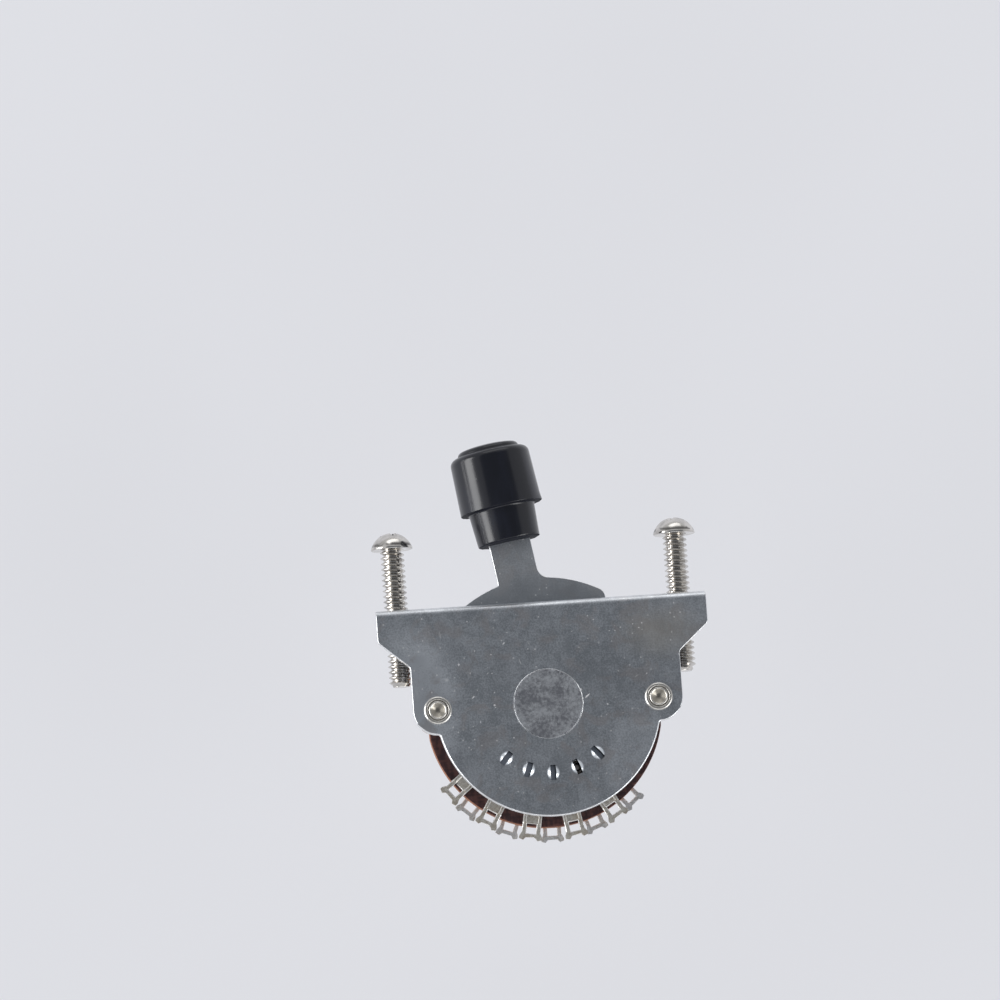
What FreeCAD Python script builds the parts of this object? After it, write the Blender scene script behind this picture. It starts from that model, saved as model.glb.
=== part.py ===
"""Lever selector switch for an electric guitar: open steel frame, lever with barrel knob, wafer with lugs.

Millimetres. X is to the right seen from the front, Y is away from the viewer, Z is up.
The origin is midway between the two fixing screws, on the top face of the frame's flange.
"""

import FreeCAD, Part
import math
import os

# Fixing screws: their spacing is the standard that the frame is built on
SCREW_SPACING = 41.3
SCREW_RADIUS = 1.75
SCREW_LENGTH = 20.1
SCREW_STAND_OFF = 9.3
SCREW_UNEVEN = 0.15
SCREW_HEAD_RADIUS = 3.03
SCREW_HEAD_HEIGHT = 2.5
SCREW_HEAD_RIM = 0.25
SCREW_POINT = 0.5

# Frame: one sheet bent into a flange and a front plate
SHEET = 1.2
FLANGE_END = 3.45
FLANGE_FRONT = 6.0
FLANGE_REAR = 6.0
FLANGE_CORNER = 1.6
FLANGE_TAPER = 0.8
TAPER_START = 0.3
BEND_OUTER = 1.0
BEND_INNER = 0.15
SHOULDER_STEP = 4.45
SHOULDER_DROP = 4.65
SHOULDER_SLOPE = 3.9
SHOULDER_ROUND = 0.9
EAR_RADIUS = 3.55
PIVOT_DROP = 15.05
SKIRT_PAST_RIVETS = 0.3
NOTCH_ROUND = 0.4
SLOT_SIDE_ROOM = 0.4
SLOT_BACK_ROOM = 0.5

# Index pockets pressed in the plate
POCKET_COUNT = 5
POCKET_PITCH = 20.6
POCKET_CIRCLE = 10.1
POCKET_RADIUS = 0.95
POCKET_HEIGHT = 0.45
POCKET_SLIT_WIDTH = 0.75
POCKET_SLIT_LENGTH = 1.85

# Pivot stud, staked flush in the plate
STUD_DISC_RADIUS = 5.0
STUD_SHOULDER_RADIUS = 4.0
AXLE_RADIUS = 2.0
AXLE_END_LENGTH = 0.6
AXLE_END_RADIUS = 2.5
WASHER_OVERLAP = 0.4
WASHER_THICKNESS = 0.5

# Lever
LEVER_THICKNESS = 1.2
LEVER_REST = -8.95
SECTOR_RISE = 3.6
SECTOR_HALF_ANGLE = 42.0
SECTOR_ROUND = 1.5
INDEX_DISC_MARGIN = 2.5
STEM_WIDTH = 6.1
STEM_FILLET_RIGHT = 1.7
STEM_FILLET_LEFT = 0.3
STEM_IN_KNOB = 11.5
STEM_TIP_ROUND = 1.5

# Knob
KNOB_STAND_OFF = 9.35
NECK_RADIUS = 4.85
NECK_END_RADIUS = 4.55
NECK_LENGTH = 5.0
BARREL_RADIUS = 5.9
BARREL_LENGTH = 8.45
BARREL_ROUND = 1.0
CROWN_RADIUS = 4.5
CROWN_HEIGHT = 1.1
CROWN_EDGE = 0.4

# Index spring, riveted behind the lever
SPRING_THICKNESS = 0.35
SPRING_WIDTH = 2.4
SPRING_ARC = 52.0
SPRING_TIP_ARC = 8.0
NOSE_RADIUS = 0.85
NOSE_TIP_RADIUS = 0.35
NOSE_REACH = 0.3
SPRING_RIVET_RADIUS = 0.55
SPRING_RIVET_HEAD = 0.95
SPRING_RIVET_RISE = 0.3
SPRING_RIVET_STEP = 11.0

# Drive hub between the lever and the rotor
HUB_TO_SPRING = 2.5
HUB_TO_ROTOR = 2.0
HUB_BOSS_RADIUS = 3.2
HUB_FLAT = 2.5
HUB_BOSS_PROUD = 0.6
PEG_RADIUS = 0.8

# Wafer and rotor
SPACER_LENGTH = 6.8
SPACER_RADIUS = 2.0
WAFER_THICKNESS = 1.6
WAFER_PAST_SKIRT = 0.8
WAFER_EAR_RADIUS = 2.7
WAFER_TO_FLANGE = 4.85
WAFER_TOP_ROUND = 1.5
ROTOR_EDGE = 0.3
BLADE_THICKNESS = 0.3
BLADE_INNER_ROOM = 1.0
BLADE_RING_WIDTH = 3.0
BLADE_TAB_ARC = 13.0
BLADE_RIVET_RADIUS = 0.5

# Soldering lugs
LUG_COUNT = 5
LUG_WIDTH = 2.7
LUG_THICKNESS = 0.4
LUG_FROM_HOLE = 2.45
LUG_WINDOW_INSET = 0.35
LUG_WINDOW_LENGTH = 1.45
LUG_BAR = 0.64
LUG_END_BAR = 0.6
LUG_HORN_RISE = 0.4
LUG_HORN_ROOT = 0.75
LUG_HORN_HEEL = 0.2
LUG_HORN_WIDTH = 3.3
LUG_HORN_TIP = 0.6
LUG_RIDGE_INSET = 0.5
LUG_RIDGE_LENGTH = 4.1
LUG_RIDGE_WIDTH = 0.5
LUG_RIDGE_RISE = 0.28
LUG_LEG_INSET = 3.0
LUG_LEG_WIDTH = 1.1
LUG_LEG_THICKNESS = 0.6
FINGER_WIDTH = 1.7
FINGER_OVERLAP = 0.8
FINGER_RING_ROOM = 0.7

# Tubular rivets through the ears
RIVET_RADIUS = 1.3
RIVET_BORE = 0.95
RIVET_HEAD_RADIUS = 2.05
RIVET_HEAD_HEIGHT = 0.6
RIVET_HEAD_EDGE = 0.2
RIVET_RIM_RADIUS = 1.45
RIVET_DIMPLE_RADIUS = 1.0
RIVET_DIMPLE_DEPTH = 0.45
RIVET_CLINCH_HEIGHT = 0.45
RIVET_CLINCH_RADIUS = 1.9
RIVET_BORE_DEPTH = 4.0

# Clearances
RUNNING = 0.05
LEVER_FACE_GAP = 0.1
STAKED = 0.02
THREAD_FIT = 0.05
RIVET_HOLE_ROOM = 0.05
ROTOR_ROOM = 0.15
KEY_ROOM = 0.03
FINGER_GAP = 0.08
NOSE_ROOM = 0.15

# Widths of the frame, from the screws outwards and then inwards
FLANGE_WIDTH = SCREW_SPACING + 2 * FLANGE_END
BODY_WIDTH = FLANGE_WIDTH - 2 * SHOULDER_STEP
RIVET_X = BODY_WIDTH / 2 - EAR_RADIUS
SKIRT_RADIUS = RIVET_X + SKIRT_PAST_RIVETS
WAFER_RADIUS = SKIRT_RADIUS + WAFER_PAST_SKIRT

# Radii about the pivot
SECTOR_RADIUS = PIVOT_DROP + SECTOR_RISE
INDEX_DISC_RADIUS = POCKET_CIRCLE + INDEX_DISC_MARGIN
KNOB_BOTTOM = PIVOT_DROP + KNOB_STAND_OFF
HUB_RADIUS = POCKET_CIRCLE - SPRING_WIDTH / 2 - HUB_TO_SPRING
PEG_CIRCLE = (STUD_SHOULDER_RADIUS + HUB_RADIUS) / 2
WASHER_RADIUS = HUB_BOSS_RADIUS + WASHER_OVERLAP
BLADE_INNER = HUB_BOSS_RADIUS + BLADE_INNER_ROOM
BLADE_OUTER = BLADE_INNER + BLADE_RING_WIDTH
COMMON_FINGER_REACH = BLADE_OUTER - FINGER_OVERLAP
THROW_FINGER_REACH = BLADE_OUTER + FINGER_RING_ROOM
BLADE_TAB_REACH = THROW_FINGER_REACH + FINGER_OVERLAP
BLADE_RIVET_CIRCLE = (BLADE_INNER + COMMON_FINGER_REACH) / 2
ROTOR_RADIUS = BLADE_TAB_REACH + ROTOR_EDGE
WAFER_HOLE = ROTOR_RADIUS + ROTOR_ROOM

# Depths, from the plate backwards
PLATE_FRONT = -FLANGE_FRONT
PLATE_BACK = PLATE_FRONT + SHEET
LEVER_FRONT = PLATE_BACK + LEVER_FACE_GAP
LEVER_BACK = LEVER_FRONT + LEVER_THICKNESS
WAFER_FRONT = PLATE_BACK + SPACER_LENGTH
WAFER_BACK = WAFER_FRONT + WAFER_THICKNESS
HUB_BACK = WAFER_FRONT - BLADE_THICKNESS - HUB_TO_ROTOR
BOSS_BACK = WAFER_BACK + BLADE_THICKNESS + HUB_BOSS_PROUD
WASHER_FRONT = BOSS_BACK + LEVER_FACE_GAP
WASHER_BACK = WASHER_FRONT + WASHER_THICKNESS

PIVOT = FreeCAD.Vector(0, 0, -PIVOT_DROP)
DEPTH = FreeCAD.Vector(0, 1, 0)
UP = FreeCAD.Vector(0, 0, 1)
ACROSS = FreeCAD.Vector(1, 0, 0)
NOSE_ANGLE = POCKET_PITCH + LEVER_REST
SAME_PLACE = 0.001
PIN_SIDES = 12
SIDES = (("left", -1), ("right", 1))


def on_front(x, y, z):
    """A point given from the pivot: x to the right, z upwards."""
    return FreeCAD.Vector(x, y, PIVOT.z + z)


def disc(radius, front, thickness, x=0, z=0):
    """A round plate facing the viewer, centred on the pivot unless x and z say otherwise."""
    return Part.makeCylinder(radius, thickness, on_front(x, front, z), DEPTH)


def small_pin(radius, front, thickness, x=0, z=0):
    """A small hidden rivet, peg or hole, twelve-sided so that it costs few facets."""
    corners = []
    for number in range(PIN_SIDES):
        turn = 2 * math.pi * number / PIN_SIDES
        corners.append((x + radius * math.sin(turn), z + radius * math.cos(turn)))
    return panel(corners, front, thickness)


def panel(points, front, thickness):
    """A flat plate facing the viewer from corner points given from the pivot."""
    corners = [on_front(x, front, z) for x, z in points]
    face = Part.Face(Part.makePolygon(corners + corners[:1]))
    return face.extrude(DEPTH * thickness)


def bar(half_width, low, high, front, thickness):
    """An upright rectangle, with low and high measured up from the pivot."""
    corners = [(-half_width, low), (half_width, low), (half_width, high), (-half_width, high)]
    return panel(corners, front, thickness)


def wedge(half_angle, radius, front, thickness, middle=0.0):
    """A slice of a round plate about the pivot, its middle turned from straight down towards +X."""
    pie = Part.makeCylinder(radius, thickness, PIVOT + DEPTH * front, DEPTH, 2 * half_angle)
    start = pie.CenterOfMass
    now = math.degrees(math.atan2(start.x - PIVOT.x, -(start.z - PIVOT.z)))
    return turned(pie, middle - now)


def turned(shape, angle):
    """Turns a shape about the pivot so that what points down moves towards +X."""
    moved = shape.copy()
    moved.rotate(PIVOT, DEPTH, -angle)
    return moved


def lathed(profile, base, axis):
    """A turned piece: profile is a list of radius and height along the axis from the base point."""
    corners = [base + ACROSS * radius + axis * height for radius, height in profile]
    face = Part.Face(Part.makePolygon(corners + corners[:1]))
    return face.revolve(base, axis, 360)


def rounded(shape, radius, places):
    """Rounds the edges that run front to back at the given x and z, measured from the pivot."""
    chosen = []
    for edge in shape.Edges:
        ends = [vertex.Point for vertex in edge.Vertexes]
        if len(ends) != 2 or math.hypot(ends[0].x - ends[1].x, ends[0].z - ends[1].z) > SAME_PLACE:
            continue
        for x, z in places:
            if math.hypot(ends[0].x - x, ends[0].z - PIVOT.z - z) < SAME_PLACE:
                chosen.append(edge)
    return shape.makeFillet(radius, chosen)


def pocket_angles():
    """Angles of the index pockets from straight down towards +X."""
    middle = (POCKET_COUNT - 1) / 2
    return [(number - middle) * POCKET_PITCH for number in range(POCKET_COUNT)]


def front_plate():
    """The plate facing the viewer: wide shoulders, straight sides, two ears and a round skirt."""
    wide = FLANGE_WIDTH / 2
    narrow = BODY_WIDTH / 2
    shoulder = PIVOT_DROP - SHOULDER_DROP
    waist = shoulder - SHOULDER_SLOPE
    outline = [(-wide, PIVOT_DROP), (-wide, shoulder), (-narrow, waist), (-narrow, 0)]
    outline += [(-x, z) for x, z in reversed(outline)]
    plate = panel(outline, PLATE_FRONT, SHEET)
    skirt = disc(SKIRT_RADIUS, PLATE_FRONT, SHEET)
    upper = bar(SKIRT_RADIUS, 0, SKIRT_RADIUS, PLATE_FRONT, SHEET)
    plate = plate.fuse(skirt.cut(upper))
    for _, side in SIDES:
        plate = plate.fuse(disc(EAR_RADIUS, PLATE_FRONT, SHEET, side * RIVET_X))
    plate = plate.removeSplitter()
    corners = [(side * wide, shoulder) for _, side in SIDES]
    corners += [(side * narrow, waist) for _, side in SIDES]
    plate = rounded(plate, SHOULDER_ROUND, corners)
    notch_x = (SKIRT_RADIUS**2 + RIVET_X**2 - EAR_RADIUS**2) / (2 * RIVET_X)
    notch_z = -math.sqrt(SKIRT_RADIUS**2 - notch_x**2)
    return rounded(plate, NOTCH_ROUND, [(side * notch_x, notch_z) for _, side in SIDES])


def flange():
    """The shelf behind the plate's top edge, narrowed a little to the rear, its rear corners round."""
    half = FLANGE_WIDTH / 2
    straight = PLATE_FRONT + BEND_OUTER + TAPER_START
    outline = [
        (-half, PLATE_FRONT),
        (half, PLATE_FRONT),
        (half, straight),
        (half - FLANGE_TAPER, FLANGE_REAR),
        (FLANGE_TAPER - half, FLANGE_REAR),
        (-half, straight),
    ]
    corners = [FreeCAD.Vector(x, y, -SHEET) for x, y in outline]
    shelf = Part.Face(Part.makePolygon(corners + corners[:1])).extrude(UP * SHEET)
    rear = []
    for edge in shelf.Edges:
        upright = abs(edge.Vertexes[0].Z - edge.Vertexes[1].Z) > SHEET / 2
        if upright and edge.Vertexes[0].Y > 0:
            rear.append(edge)
    return shelf.makeFillet(FLANGE_CORNER, rear)


def bent_edges(shape, y, z):
    """Edges along the bend at this depth and height."""
    found = []
    for edge in shape.Edges:
        ends = [vertex.Point for vertex in edge.Vertexes]
        if len(ends) == 2 and all(math.hypot(end.y - y, end.z - z) < SAME_PLACE for end in ends):
            found.append(edge)
    return found


def pocket(grow_front, middle):
    """The ball-shaped form of an index pocket, pressed from the back towards the viewer."""
    ball_radius = (POCKET_RADIUS**2 + POCKET_HEIGHT**2) / (2 * POCKET_HEIGHT)
    centre = on_front(0, grow_front + ball_radius - POCKET_HEIGHT, -POCKET_CIRCLE)
    ball = Part.makeSphere(ball_radius, centre)
    keep = disc(POCKET_RADIUS * 2, grow_front - POCKET_HEIGHT, POCKET_HEIGHT, 0, -POCKET_CIRCLE)
    return turned(ball.common(keep), middle)


def slot_half_length():
    """Half the length of the lever slot: the dust sector must pass through the flange at its underside."""
    return math.sqrt(SECTOR_RADIUS**2 - (PIVOT_DROP - SHEET) ** 2) + SLOT_SIDE_ROOM


def mounting_frame():
    """One bent sheet: front plate, flange with tapped holes and lever slot, five pressed pockets."""
    frame = front_plate().fuse(flange()).removeSplitter()
    frame = frame.makeFillet(BEND_INNER, bent_edges(frame, PLATE_BACK, -SHEET))
    frame = frame.makeFillet(BEND_OUTER, bent_edges(frame, PLATE_FRONT, 0))
    half = slot_half_length()
    slot_depth = LEVER_BACK + SLOT_BACK_ROOM - PLATE_BACK
    slot = Part.makeBox(2 * half, slot_depth, 3 * SHEET, FreeCAD.Vector(-half, PLATE_BACK, -2 * SHEET))
    frame = frame.cut(slot)
    for _, side in SIDES:
        foot = FreeCAD.Vector(side * SCREW_SPACING / 2, 0, -2 * SHEET)
        frame = frame.cut(Part.makeCylinder(SCREW_RADIUS + THREAD_FIT, 3 * SHEET, foot, UP))
        frame = frame.cut(disc(RIVET_RADIUS + RIVET_HOLE_ROOM, PLATE_FRONT, SHEET, side * RIVET_X))
    frame = frame.cut(disc(STUD_DISC_RADIUS + STAKED, PLATE_FRONT, SHEET))
    slit_low = -POCKET_CIRCLE - POCKET_SLIT_LENGTH / 2
    slit = bar(POCKET_SLIT_WIDTH / 2, slit_low, slit_low + POCKET_SLIT_LENGTH, PLATE_FRONT - SHEET, 2 * SHEET)
    for angle in pocket_angles():
        frame = frame.fuse(pocket(PLATE_FRONT, angle))
        frame = frame.cut(pocket(PLATE_BACK, angle))
        frame = frame.cut(turned(slit, angle))
    return frame.removeSplitter()


def pivot_stud():
    """Disc flush in the plate, shoulder for the lever, and the axle that carries hub and washer."""
    stud = disc(STUD_DISC_RADIUS, PLATE_FRONT, SHEET)
    stud = stud.fuse(disc(STUD_SHOULDER_RADIUS, PLATE_BACK, LEVER_BACK - PLATE_BACK))
    stud = stud.fuse(disc(AXLE_RADIUS, LEVER_BACK, WASHER_BACK - LEVER_BACK))
    stud = stud.fuse(disc(AXLE_END_RADIUS, WASHER_BACK, AXLE_END_LENGTH))
    return stud.removeSplitter()


def axle_washer():
    """Washer that keeps the hub on the axle, under the axle's riveted end."""
    washer = disc(WASHER_RADIUS, WASHER_FRONT, WASHER_THICKNESS)
    return washer.cut(disc(AXLE_RADIUS + STAKED, WASHER_FRONT, WASHER_THICKNESS))


def ear_rivet(side):
    """Tubular rivet through an ear, its spacer and the wafer: rolled head in front, clinch behind."""
    grip = WAFER_BACK - PLATE_FRONT
    end = grip + RIVET_CLINCH_HEIGHT
    profile = [
        (0, RIVET_DIMPLE_DEPTH - RIVET_HEAD_HEIGHT),
        (RIVET_DIMPLE_RADIUS, RIVET_DIMPLE_DEPTH - RIVET_HEAD_HEIGHT),
        (RIVET_RIM_RADIUS - RIVET_HEAD_EDGE, -RIVET_HEAD_HEIGHT),
        (RIVET_RIM_RADIUS, -RIVET_HEAD_HEIGHT),
        (RIVET_HEAD_RADIUS, -RIVET_HEAD_EDGE),
        (RIVET_HEAD_RADIUS, 0),
        (RIVET_RADIUS, 0),
        (RIVET_RADIUS, grip),
        (RIVET_CLINCH_RADIUS, grip),
        (RIVET_RADIUS, end),
        (RIVET_BORE, end),
        (RIVET_BORE, end - RIVET_BORE_DEPTH),
        (0, end - RIVET_BORE_DEPTH),
    ]
    return lathed(profile, on_front(side * RIVET_X, PLATE_FRONT, 0), DEPTH)


def ear_spacer(side):
    """Tube between the plate and the wafer, round a rivet."""
    length = WAFER_FRONT - PLATE_BACK
    tube = disc(SPACER_RADIUS, PLATE_BACK, length, side * RIVET_X)
    return tube.cut(disc(RIVET_RADIUS + RIVET_HOLE_ROOM, PLATE_BACK, length, side * RIVET_X))


def lever_blade():
    """Flat steel lever: index disc, dust sector, and the stem that enters the knob."""
    sector = wedge(SECTOR_HALF_ANGLE, SECTOR_RADIUS, LEVER_FRONT, LEVER_THICKNESS, 180)
    half = math.radians(SECTOR_HALF_ANGLE)
    corner_x = SECTOR_RADIUS * math.sin(half)
    corner_z = SECTOR_RADIUS * math.cos(half)
    sector = rounded(sector, SECTOR_ROUND, [(side * corner_x, corner_z) for _, side in SIDES])
    tip = KNOB_BOTTOM + STEM_IN_KNOB
    stem = bar(STEM_WIDTH / 2, 0, tip, LEVER_FRONT, LEVER_THICKNESS)
    stem = rounded(stem, STEM_TIP_ROUND, [(side * STEM_WIDTH / 2, tip) for _, side in SIDES])
    blade = sector.fuse([disc(INDEX_DISC_RADIUS, LEVER_FRONT, LEVER_THICKNESS), stem]).removeSplitter()
    root = math.sqrt(SECTOR_RADIUS**2 - (STEM_WIDTH / 2) ** 2)
    blade = rounded(blade, STEM_FILLET_RIGHT, [(STEM_WIDTH / 2, root)])
    blade = rounded(blade, STEM_FILLET_LEFT, [(-STEM_WIDTH / 2, root)])
    blade = blade.cut(disc(STUD_SHOULDER_RADIUS + RUNNING, LEVER_FRONT, LEVER_THICKNESS))
    for _, side in SIDES:
        blade = blade.cut(small_pin(PEG_RADIUS + KEY_ROOM, LEVER_FRONT, LEVER_THICKNESS, side * PEG_CIRCLE))
    window = disc(NOSE_RADIUS + NOSE_ROOM, LEVER_FRONT, LEVER_THICKNESS, 0, -POCKET_CIRCLE)
    blade = blade.cut(turned(window, NOSE_ANGLE))
    for angle in spring_rivet_angles():
        hole = small_pin(SPRING_RIVET_RADIUS, LEVER_FRONT, LEVER_THICKNESS, 0, -POCKET_CIRCLE)
        blade = blade.cut(turned(hole, angle))
    return blade


def spring_rivet_angles():
    """Where the two small rivets hold the index spring, measured as the pockets are."""
    last = NOSE_ANGLE + SPRING_ARC - SPRING_RIVET_STEP / 2
    return [last - SPRING_RIVET_STEP, last]


def index_spring():
    """Curved leaf behind the lever; its nose reaches through the window into a pocket."""
    outer = POCKET_CIRCLE + SPRING_WIDTH / 2
    middle = NOSE_ANGLE + (SPRING_ARC - SPRING_TIP_ARC) / 2
    leaf = wedge((SPRING_ARC + SPRING_TIP_ARC) / 2, outer, LEVER_BACK, SPRING_THICKNESS, middle)
    leaf = leaf.cut(disc(outer - SPRING_WIDTH, LEVER_BACK, SPRING_THICKNESS))
    for angle in spring_rivet_angles():
        hole = small_pin(SPRING_RIVET_RADIUS, LEVER_BACK, SPRING_THICKNESS, 0, -POCKET_CIRCLE)
        leaf = leaf.cut(turned(hole, angle))
    tip = PLATE_BACK - NOSE_REACH
    shoulder = tip + NOSE_RADIUS - NOSE_TIP_RADIUS
    profile = [
        (0, 0),
        (NOSE_TIP_RADIUS, 0),
        (NOSE_RADIUS, shoulder - tip),
        (NOSE_RADIUS, LEVER_BACK + SPRING_THICKNESS - tip),
        (0, LEVER_BACK + SPRING_THICKNESS - tip),
    ]
    nose = lathed(profile, on_front(0, tip, -POCKET_CIRCLE), DEPTH)
    return leaf.fuse(turned(nose, NOSE_ANGLE)).removeSplitter()


def index_spring_rivets():
    """Two small rivets, flush in the lever and domed on the spring."""
    seat = LEVER_BACK + SPRING_THICKNESS
    rivets = []
    for angle in spring_rivet_angles():
        shank = small_pin(SPRING_RIVET_RADIUS, LEVER_FRONT, seat - LEVER_FRONT, 0, -POCKET_CIRCLE)
        head = small_pin(SPRING_RIVET_HEAD, seat, SPRING_RIVET_RISE, 0, -POCKET_CIRCLE)
        rivets.append(turned(shank.fuse(head).removeSplitter(), angle))
    return Part.makeCompound(rivets)


def lever_knob():
    """Barrel knob with a narrower tapered neck, a raised crown and a slot for the stem."""
    centre_y = LEVER_FRONT + LEVER_THICKNESS / 2
    top = NECK_LENGTH + BARREL_LENGTH
    bulge = BARREL_ROUND * (1 - math.cos(math.pi / 4))
    profile = [
        (0, 0),
        (NECK_END_RADIUS, 0),
        (NECK_RADIUS, NECK_LENGTH),
        (BARREL_RADIUS, NECK_LENGTH),
        (BARREL_RADIUS, top - BARREL_ROUND),
        (BARREL_RADIUS - bulge, top - bulge),
        (BARREL_RADIUS - BARREL_ROUND, top),
        (CROWN_RADIUS, top),
        (CROWN_RADIUS, top + CROWN_HEIGHT - CROWN_EDGE),
        (CROWN_RADIUS - CROWN_EDGE, top + CROWN_HEIGHT),
        (0, top + CROWN_HEIGHT),
    ]
    knob = lathed(profile, on_front(0, centre_y, KNOB_BOTTOM), UP)
    half = STEM_WIDTH / 2 + KEY_ROOM
    depth = LEVER_THICKNESS + 2 * KEY_ROOM
    socket_top = KNOB_BOTTOM + STEM_IN_KNOB + KEY_ROOM
    return knob.cut(bar(half, KNOB_BOTTOM, socket_top, LEVER_FRONT - KEY_ROOM, depth))


def drive_hub():
    """Moulded hub behind the lever: two pegs drive it, its flatted boss drives the rotor."""
    hub = disc(HUB_RADIUS, LEVER_BACK, HUB_BACK - LEVER_BACK)
    boss = disc(HUB_BOSS_RADIUS, HUB_BACK, BOSS_BACK - HUB_BACK)
    flats = bar(HUB_FLAT, -HUB_BOSS_RADIUS, HUB_BOSS_RADIUS, HUB_BACK, BOSS_BACK - HUB_BACK)
    hub = hub.fuse(boss.common(flats))
    for _, side in SIDES:
        hub = hub.fuse(small_pin(PEG_RADIUS, LEVER_FRONT, LEVER_THICKNESS, side * PEG_CIRCLE))
    hub = hub.removeSplitter()
    return hub.cut(disc(AXLE_RADIUS + RUNNING, LEVER_BACK, BOSS_BACK - LEVER_BACK))


def rotor_disc():
    """Rotor that turns in the wafer's hole, with a flatted hole for the hub."""
    rotor = disc(ROTOR_RADIUS, WAFER_FRONT, WAFER_THICKNESS)
    hole = disc(HUB_BOSS_RADIUS + KEY_ROOM, WAFER_FRONT, WAFER_THICKNESS)
    reach = HUB_BOSS_RADIUS + KEY_ROOM
    hole = hole.common(bar(HUB_FLAT + KEY_ROOM, -reach, reach, WAFER_FRONT, WAFER_THICKNESS))
    rotor = rotor.cut(hole)
    for _, side in SIDES:
        hole = small_pin(BLADE_RIVET_RADIUS, WAFER_FRONT, WAFER_THICKNESS, side * BLADE_RIVET_CIRCLE)
        rotor = rotor.cut(hole)
    return rotor


def rotor_contact(front, tab_angle):
    """Silvered ring on one face of the rotor, with one tab that meets a throw at each position."""
    ring = disc(BLADE_OUTER, front, BLADE_THICKNESS)
    tab = wedge(BLADE_TAB_ARC / 2, BLADE_TAB_REACH, front, BLADE_THICKNESS, tab_angle)
    ring = ring.fuse(tab).removeSplitter().cut(disc(BLADE_INNER, front, BLADE_THICKNESS))
    for _, side in SIDES:
        hole = small_pin(BLADE_RIVET_RADIUS, front, BLADE_THICKNESS, side * BLADE_RIVET_CIRCLE)
        ring = ring.cut(hole)
    return ring


def rotor_rivets():
    """Two rivets through both contact rings and the rotor, flush with the rings."""
    start = WAFER_FRONT - BLADE_THICKNESS
    length = WAFER_THICKNESS + 2 * BLADE_THICKNESS
    rivets = [small_pin(BLADE_RIVET_RADIUS, start, length, side * BLADE_RIVET_CIRCLE) for _, side in SIDES]
    return Part.makeCompound(rivets)


def lug_angles(face):
    """Front lugs stand on the positions and one pitch before; rear lugs half a pitch on."""
    first = -(LUG_COUNT / 2) * POCKET_PITCH
    if face == "rear":
        first += POCKET_PITCH / 2
    return [first + number * POCKET_PITCH for number in range(LUG_COUNT)]


def stator_wafer():
    """Insulating wafer: round below, two ears for the rivets, straight on top, open for the rotor."""
    wafer = disc(WAFER_RADIUS, WAFER_FRONT, WAFER_THICKNESS)
    for _, side in SIDES:
        wafer = wafer.fuse(disc(WAFER_EAR_RADIUS, WAFER_FRONT, WAFER_THICKNESS, side * RIVET_X))
    wafer = wafer.removeSplitter()
    top = PIVOT_DROP - WAFER_TO_FLANGE
    wafer = wafer.cut(bar(2 * WAFER_RADIUS, top, 2 * WAFER_RADIUS, WAFER_FRONT, WAFER_THICKNESS))
    corner_x = math.sqrt(WAFER_RADIUS**2 - top**2)
    wafer = rounded(wafer, WAFER_TOP_ROUND, [(side * corner_x, top) for _, side in SIDES])
    wafer = wafer.cut(disc(WAFER_HOLE, WAFER_FRONT, WAFER_THICKNESS))
    for _, side in SIDES:
        hole = disc(RIVET_RADIUS + RIVET_HOLE_ROOM, WAFER_FRONT, WAFER_THICKNESS, side * RIVET_X)
        wafer = wafer.cut(hole)
    half = LUG_LEG_WIDTH / 2 + KEY_ROOM
    low = LUG_LEG_INSET - WAFER_RADIUS - LUG_LEG_THICKNESS / 2 - KEY_ROOM
    high = low + LUG_LEG_THICKNESS + 2 * KEY_ROOM
    slit = bar(half, low, high, WAFER_FRONT, WAFER_THICKNESS)
    for face in ("front", "rear"):
        for angle in lug_angles(face):
            wafer = wafer.cut(turned(slit, angle))
    return wafer


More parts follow.
